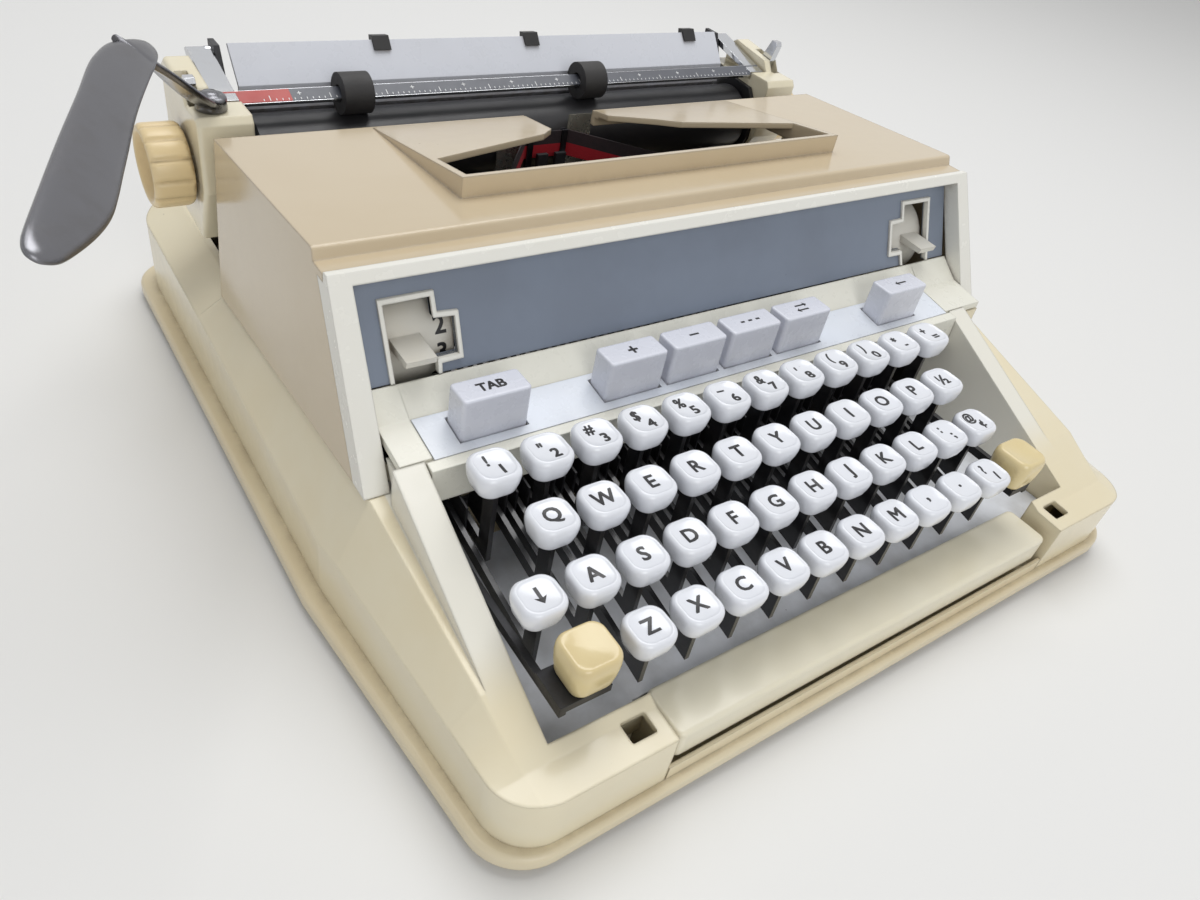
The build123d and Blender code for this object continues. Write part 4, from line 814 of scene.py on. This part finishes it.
def lone_lever(x, y, z):
    """The lever of one key, from the pivot rod to the underside of its cap."""
    pivot_y, pivot_z = lever_pivot
    middle = pivot_z - lever_fall * (pivot_y - y)
    slope = lever_fall * stem_half
    stem_top = z - cap_height + stem_rise
    return blade_solid((
        (pivot_y + tail_length, pivot_z + tail_half), (pivot_y + tail_length, pivot_z - tail_half),
        (pivot_y, pivot_z - lever_half),
        (y + stem_half, middle + slope - lever_half), (y - stem_half, middle - slope - lever_half),
        (y - stem_half, stem_top), (y + stem_half, stem_top),
        (y + stem_half, middle + slope + lever_half), (pivot_y, pivot_z + lever_half),
    ), x - blade_half, x + blade_half)


home_y = number_y - home * row_step
home_z = cap_top_z - home * row_fall
for name, body, text, x in (
    ("h_key", "h_key_body", "H", number_x + row_shifts[home] + h_column * key_pitch),
    ("shift_lock_key", "shift_lock", None, shift_lock_x),
):
    cap = placed(one_cap, x, home_y, home_z)
    piece(f"{name}_cap", cap, cap_faces, "key_plastic", body, [name])
    piece(f"{name}_lever", *lone_lever(x, home_y, home_z), "lever_steel", body, flat=True)
    if text:
        piece(f"{name}_sign", *gather(key_signs(text, x, home_y, home_z)), "legend_ink", body)
    else:
        points, faces = arrow_sign(*lock_arrow)
        laid = [at(px + x, py + home_y, pz + home_z + dish_z(px, py)) for px, py, pz in points]
        piece(f"{name}_sign", laid, faces, "legend_ink", body, flat=True)

# %% Shift keys
shift_size = (17.0, 17.0, 14.0, 4.5)
shift_top_z = 64.8
shift_y = number_y - 3 * row_step
shift_places = (-127.5, 86.0)
shift_points, shift_faces = cap_shape(*shift_size)
piece("shift_caps", *gather([
    (placed(shift_points, x, shift_y, shift_top_z), shift_faces) for x in shift_places
]), "shift_plastic", "shift", ["shift_keys"])

# %% [markdown]
# The function keys stand upright in their slots, and their signs lie flat on top. The signs
# are generic ones: a word, plus, minus, a broken line, a pair of arrows and a single one.

# %% Signs on the function keys
function_top_z = 92.5
function_front_y = -72.7
function_depth = 11.2
function_y = function_front_y + function_depth / 2
function_lift = 0.01
function_places = {
    "tab_key": -115.0, "tab_set_key": -57.2, "tab_clear_key": -28.4, "margin_dash_key": 0.4,
    "margin_release_key": 29.2, "backspace_key": 91.8,
}
word_signs = {
    "tab_key": ("TAB", 5.6), "tab_set_key": ("+", 8.0), "tab_clear_key": ("–", 8.0),
    "margin_dash_key": ("- - -", 6.5),
}
arrow_signs = {
    "margin_release_key": ((3.2, 0.9, 0, 0.6, 1.5), (3.2, 0.9, 180, -0.6, -1.5)),
    "backspace_key": ((3.4, 1.0, 180, 0.0, 0.0),),
}
for name, x in function_places.items():
    points, faces = sign(*word_signs[name]) if name in word_signs else gather(
        [arrow_sign(*arrow) for arrow in arrow_signs[name]])
    laid = [at(px + x, py + function_y, pz + function_top_z + function_lift)
            for px, py, pz in points]
    piece(f"{name}_sign", laid, faces, "legend_ink", f"{name}_body", flat=True)

# %% [markdown]
# The knobs are turned by finger and thumb, so they are moulded with twelve broad flats and a
# groove between each two, and with a hollow outer face. The form is a turned profile whose
# radius dips at each groove.

# %% Platen knobs
knob_axis = (108.5, 94.2)
knob_inner_x = 161.5
knob_flats = 12
steps_per_flat = 8
groove_deep = 1.5
groove_slope = 7.0
knob_profile = (
    (0.0, 12.6, 0.0), (0.05, 14.6, 0.0), (0.4, 15.6, 0.3), (1.2, 16.2, 0.8), (2.2, 16.55, 1.0),
    (13.4, 16.55, 1.0), (14.8, 16.3, 0.9), (15.6, 15.7, 0.5), (16.0, 14.9, 0.1), (15.9, 13.9, 0.0),
    (15.2, 13.3, 0.0), (12.4, 12.7, 0.0), (11.6, 11.8, 0.0), (11.4, 5.6, 0.0), (12.4, 5.2, 0.0),
    (12.6, 4.2, 0.0), (12.6, 0.6, 0.0),
)


def turned_knob(side):
    """One knob about the platen's axis; side is -1 for the left and 1 for the right."""
    points = []
    around = knob_flats * steps_per_flat
    for along, radius, ribbed in knob_profile:
        for i in range(around):
            share = (i % steps_per_flat) / steps_per_flat
            dip = groove_deep * max(0.0, 1 - min(share, 1 - share) * groove_slope) * ribbed
            angle = 2 * pi * i / around
            points.append(at(side * (knob_inner_x + along),
                             knob_axis[0] + (radius - dip) * cos(angle),
                             knob_axis[1] + (radius - dip) * sin(angle)))
    return points, rings_to_faces(len(knob_profile), around)


piece("fluted_knobs", *gather([turned_knob(-1), turned_knob(1)]), "knob_plastic",
      "platen_roller", ["platen_knobs"])

# %% [markdown]
# The return lever is one steel stamping: a hub, an arm that rises, and a broad leaf for the
# hand. The leaf is drawn as a closed smooth curve in its own tilted plane, with thickness
# and a rounded edge, and the arm is a chain of sections from the hub to the elbow.

# %% Return lever
hub = (-152.5, 95.0, 121.3)
elbow = Vector((-185.0, 55.0, 158.0))
blade_tip = Vector((-231.9, -56.0, 150.0))
blade_roll = radians(40.0)
leaf_thickness = 2.6
leaf_bowl = 0.9
bowl_half = 9.0
leaf_steps = 6
leaf_outline = (
    (-12, 3.6), (-8, 0), (-1, -3.7), (6, -6.3), (14, -7.6), (23, -8.1), (41, -7.4), (67, -6.8),
    (94, -5.8), (108, -5.2), (114, -4.6), (117.5, -3.2), (118.6, -1), (117.8, 1.4), (114, 4.6),
    (105, 7.7), (95, 10.2), (86, 11.4), (78, 11.3), (67, 10.5), (54, 9.6), (40, 8.5), (26, 8),
    (10, 8), (-4, 8.2), (-11, 7.2),
)
along = (blade_tip - elbow).normalized()
level = Vector((0, 0, 1)).cross(along).normalized()
upward = along.cross(level)
across = level * cos(blade_roll) - upward * sin(blade_roll)
outward = along.cross(across)
arm_root = (-1.0, -2.4, 2.4)
arm_stations = 9
arm_side = (0.79, -0.62, 0)
arm_half = 4.6
arm_widens = 1.4
arm_corner = 1.1
straight_share = 0.75
hub_profile = (
    (0.1, 5.2), (0.0, 5.6), (0.5, 6.0), (4.6, 6.0), (5.4, 5.5), (5.6, 4.6), (5.6, 3.4),
    (6.4, 3.2), (6.8, 2.6), (6.9, 0.5),
)
hub_around = 40


def smooth_loop(corners, steps):
    """Closed smooth line through the corners, by Catmull and Rom's rule."""
    loop = []
    count = len(corners)
    for i in range(count):
        p0, p1, p2, p3 = (Vector(corners[(i + k) % count]) for k in (-1, 0, 1, 2))
        for s in range(steps):
            t = s / steps
            loop.append(0.5 * (2 * p1 + (p2 - p0) * t + (2 * p0 - 5 * p1 + 4 * p2 - p3) * t * t
                               + (3 * p1 - p0 - 3 * p2 + p3) * t**3))
    return loop


def leaf():
    """Points and faces of the blade: rings from one face round the edge to the other."""
    loop = smooth_loop(leaf_outline, leaf_steps)
    centre = sum(loop, Vector((0, 0))) / len(loop)
    half = leaf_thickness / 2
    points = []
    rings = ((0.25, half), (0.6, half), (0.9, half), (0.97, half * 0.8), (1.0, half * 0.3),
             (1.0, -half * 0.3), (0.97, -half * 0.8), (0.9, -half), (0.6, -half), (0.25, -half))
    for share, lift in rings:
        for p in loop:
            q = centre + (p - centre) * share
            bowl = leaf_bowl * (1 - ((q.y - centre.y) / bowl_half) ** 2)
            spot = elbow + along * q.x + across * q.y + outward * (lift + bowl - leaf_bowl)
            points.append(at(*spot))
    return points, rings_to_faces(len(rings), len(loop))


def arm():
    """Points and faces of the arm: a rounded strip that rises from the hub to the elbow."""
    start = Vector(hub) + Vector(arm_root)
    ahead = (elbow - start).normalized()
    points = []
    for i in range(arm_stations):
        t = i / (arm_stations - 1)
        rise = t * t * (3 - 2 * t)
        spot = start.lerp(elbow, t)
        spot.z = start.z + (elbow.z - start.z) * (
            straight_share * t + (1 - straight_share) * rise)
        side = Vector(arm_side).lerp(across, rise).normalized()
        normal = side.cross(ahead).normalized()
        width = arm_half + arm_widens * t
        for px, py, _ in rounded_ring(width, leaf_thickness / 2, arm_corner, 0.0, 3):
            points.append(at(*(spot + side * px + normal * py)))
    return points, rings_to_faces(arm_stations, len(points) // arm_stations)


def hub_disc():
    """The hub as a turned disc with a screw head in its middle."""
    points = []
    for z, radius in hub_profile:
        for i in range(hub_around):
            angle = 2 * pi * i / hub_around
            points.append(at(hub[0] + radius * cos(angle), hub[1] + radius * sin(angle),
                             hub[2] + z))
    return points, rings_to_faces(len(hub_profile), hub_around)


piece("return_lever_stamping", *gather([leaf(), arm(), hub_disc()]), "lever_metal", "return",
      ["return_lever"])

# %% [markdown]
# The paper bail carries a printed scale: a dark strip with white ticks, and a red stretch at
# its left end. The strip is a thin bar on the upper side of the bail, and the ticks are
# small raised bars on the strip, a long one at every tenth and a small cross half way.

# %% Bail scale
finishes["scale_paint"] = plastic("scale_paint", (86, 89, 97), (72, 74, 82), 0.4, edge=0.1,
                                  specks=0.2, crevice=0.0, patch_scale=60.0)
finishes["scale_red"] = plastic("scale_red", (176, 52, 44), (150, 46, 40), 0.4, edge=0.1,
                                specks=0.2, crevice=0.0, patch_scale=60.0)
finishes["tick_white"] = plastic("tick_white", (228, 230, 232), (204, 202, 196), 0.4, edge=0.05,
                                 specks=0.0, crevice=0.0, patch_scale=90.0)
bail_reach = 26.2
bail_ahead = 3.0
bail_centre = (knob_axis[0] - bail_ahead, knob_axis[1] + sqrt(bail_reach**2 - bail_ahead**2))
bail_lean = radians(25.0)
strip_half = 3.1
strip_low = 0.8
strip_high = 1.0


def bail_bar(x_low, x_high, low, high, v_low, v_high):
    """A bar along the bail, between two widths and two heights over its middle plane."""
    corners = []
    for u, w in ((v_low, low), (v_high, low), (v_high, high), (v_low, high)):
        corners.append((bail_centre[0] + u * cos(bail_lean) - w * sin(bail_lean),
                        bail_centre[1] + u * sin(bail_lean) + w * cos(bail_lean)))
    return blade_solid(corners, x_low, x_high)


scale_end = 148.5
red_end = -118.0
piece("bail_scale", *bail_bar(red_end, scale_end, strip_low, strip_high, -strip_half, strip_half),
      "scale_paint", "bail", flat=True)
piece("bail_scale_red", *bail_bar(-scale_end, red_end, strip_low, strip_high, -strip_half,
                                  strip_half), "scale_red", "bail", flat=True)
tick_step = 2.54
tick_half = 0.17
tick_foot = -2.7
tick_top = strip_high + 0.06
long_tick = 2.6
short_tick = 1.0
cross_half = 0.9
cross_bar = (0.4, 0.75)
cross_post = (-0.4, 1.5)
post_top = strip_high + 0.07
scale_margin = 2
clear_of_red = 0.6
ticks = []
tick = -51
while tick * tick_step < scale_end - scale_margin:
    x = tick * tick_step
    if abs(x - red_end) > clear_of_red:
        long = long_tick if tick % 10 == 0 else short_tick
        ticks.append(bail_bar(x - tick_half, x + tick_half, strip_high, tick_top,
                              tick_foot, tick_foot + long))
        if tick % 10 == 5:
            ticks.append(bail_bar(x - cross_half, x + cross_half, strip_high, tick_top,
                                  *cross_bar))
            ticks.append(bail_bar(x - tick_half, x + tick_half, strip_high, post_top,
                                  *cross_post))
    tick += 1
piece("bail_ticks", *gather(ticks), "tick_white", "bail", flat=True)

# %% [markdown]
# Each slot in the panel has a thin raised border, moulded in the frame's plastic, that hides
# the cut edge of the sheet. It follows the stepped outline of the slot. The border is a
# strip between the slot's outline and the same outline moved outwards, standing proud.

# %% Slot borders
panel_top = (-31.2, 119.4)
panel_foot = (-47.4, 85.9)
left_slot = (
    (-140.0, 86.3), (-140.0, 109.7), (-123.2, 109.8), (-123.2, 103.3), (-115.4, 102.8),
    (-115.7, 91.0), (-123.8, 90.8), (-124.2, 86.3),
)
right_slot = (
    (118.2, 86.3), (117.6, 92.4), (109.8, 92.5), (110.6, 104.1), (118.7, 104.3), (119.0, 111.2),
    (136.3, 111.1), (135.4, 86.3),
)
border_width = 1.5
border_proud = 1.2
border_root = -1.6
border_foot = 0.05
sharpest_corner = 0.4


def panel_y(z):
    """Front face of the panel at a height."""
    return panel_foot[0] + (panel_top[0] - panel_foot[0]) * (z - panel_foot[1]) / (
        panel_top[1] - panel_foot[1])


def slot_border(outline, turning):
    """Strip round a slot; turning is 1 where the outline runs clockwise seen from the front."""
    count = len(outline)
    inner = [Vector(p) for p in outline]
    outer = []
    for i, p in enumerate(inner):
        before = (p - inner[i - 1]).normalized()
        after = (inner[(i + 1) % count] - p).normalized()
        push = Vector((-before.y, before.x)) * turning + Vector((-after.y, after.x)) * turning
        outer.append(p + push * border_width / max(sharpest_corner, 1 + before.dot(after)))
    outer[0].y = inner[0].y
    outer[-1].y = inner[-1].y
    points = []
    for ring, proud in ((inner, border_root), (inner, border_proud), (outer, border_proud),
                        (outer, border_foot)):
        points += [at(p.x, panel_y(p.y) - proud, p.y) for p in ring]
    faces = []
    for i in range(count - 1):
        for a, b in ((0, 1), (1, 2), (2, 3), (3, 0)):
            faces.append((a * count + i, a * count + i + 1, b * count + i + 1, b * count + i))
    for i in (0, count - 1):
        faces.append(tuple(k * count + i for k in range(4)))
    return points, faces


piece("slot_borders", *gather([slot_border(left_slot, 1), slot_border(right_slot, 1)]),
      "frame_plastic", "hood_cover", flat=True)

# %% [markdown]
# The touch lever's drum shows its setting in the narrow window beside the tab: black
# numerals on the pale drum. They are signs wrapped on the drum's surface, so they roll past
# the window when the lever is set.

# %% Numerals on the drum
drum_axis = (-21.0, 87.5)
drum_radius = 19.5
numeral_x = -119.4
numeral_size = 9.0
numeral_pitch = 9.6
shown_number = 2
shown_shift = 1.5
window_turn = radians(150.8)
numerals = []
for number in range(1, 6):
    points, faces = sign(str(number), numeral_size)
    arc = (shown_number - number) * numeral_pitch + shown_shift
    wrapped = []
    for px, py, pz in points:
        turned = window_turn - (py + arc) / drum_radius
        radius = drum_radius + pz + sign_lift
        wrapped.append(at(px + numeral_x, drum_axis[0] + radius * cos(turned),
                          drum_axis[1] + radius * sin(turned)))
    numerals.append((wrapped, faces))
piece("drum_numerals", *gather(numerals), "legend_ink", "touch_control")
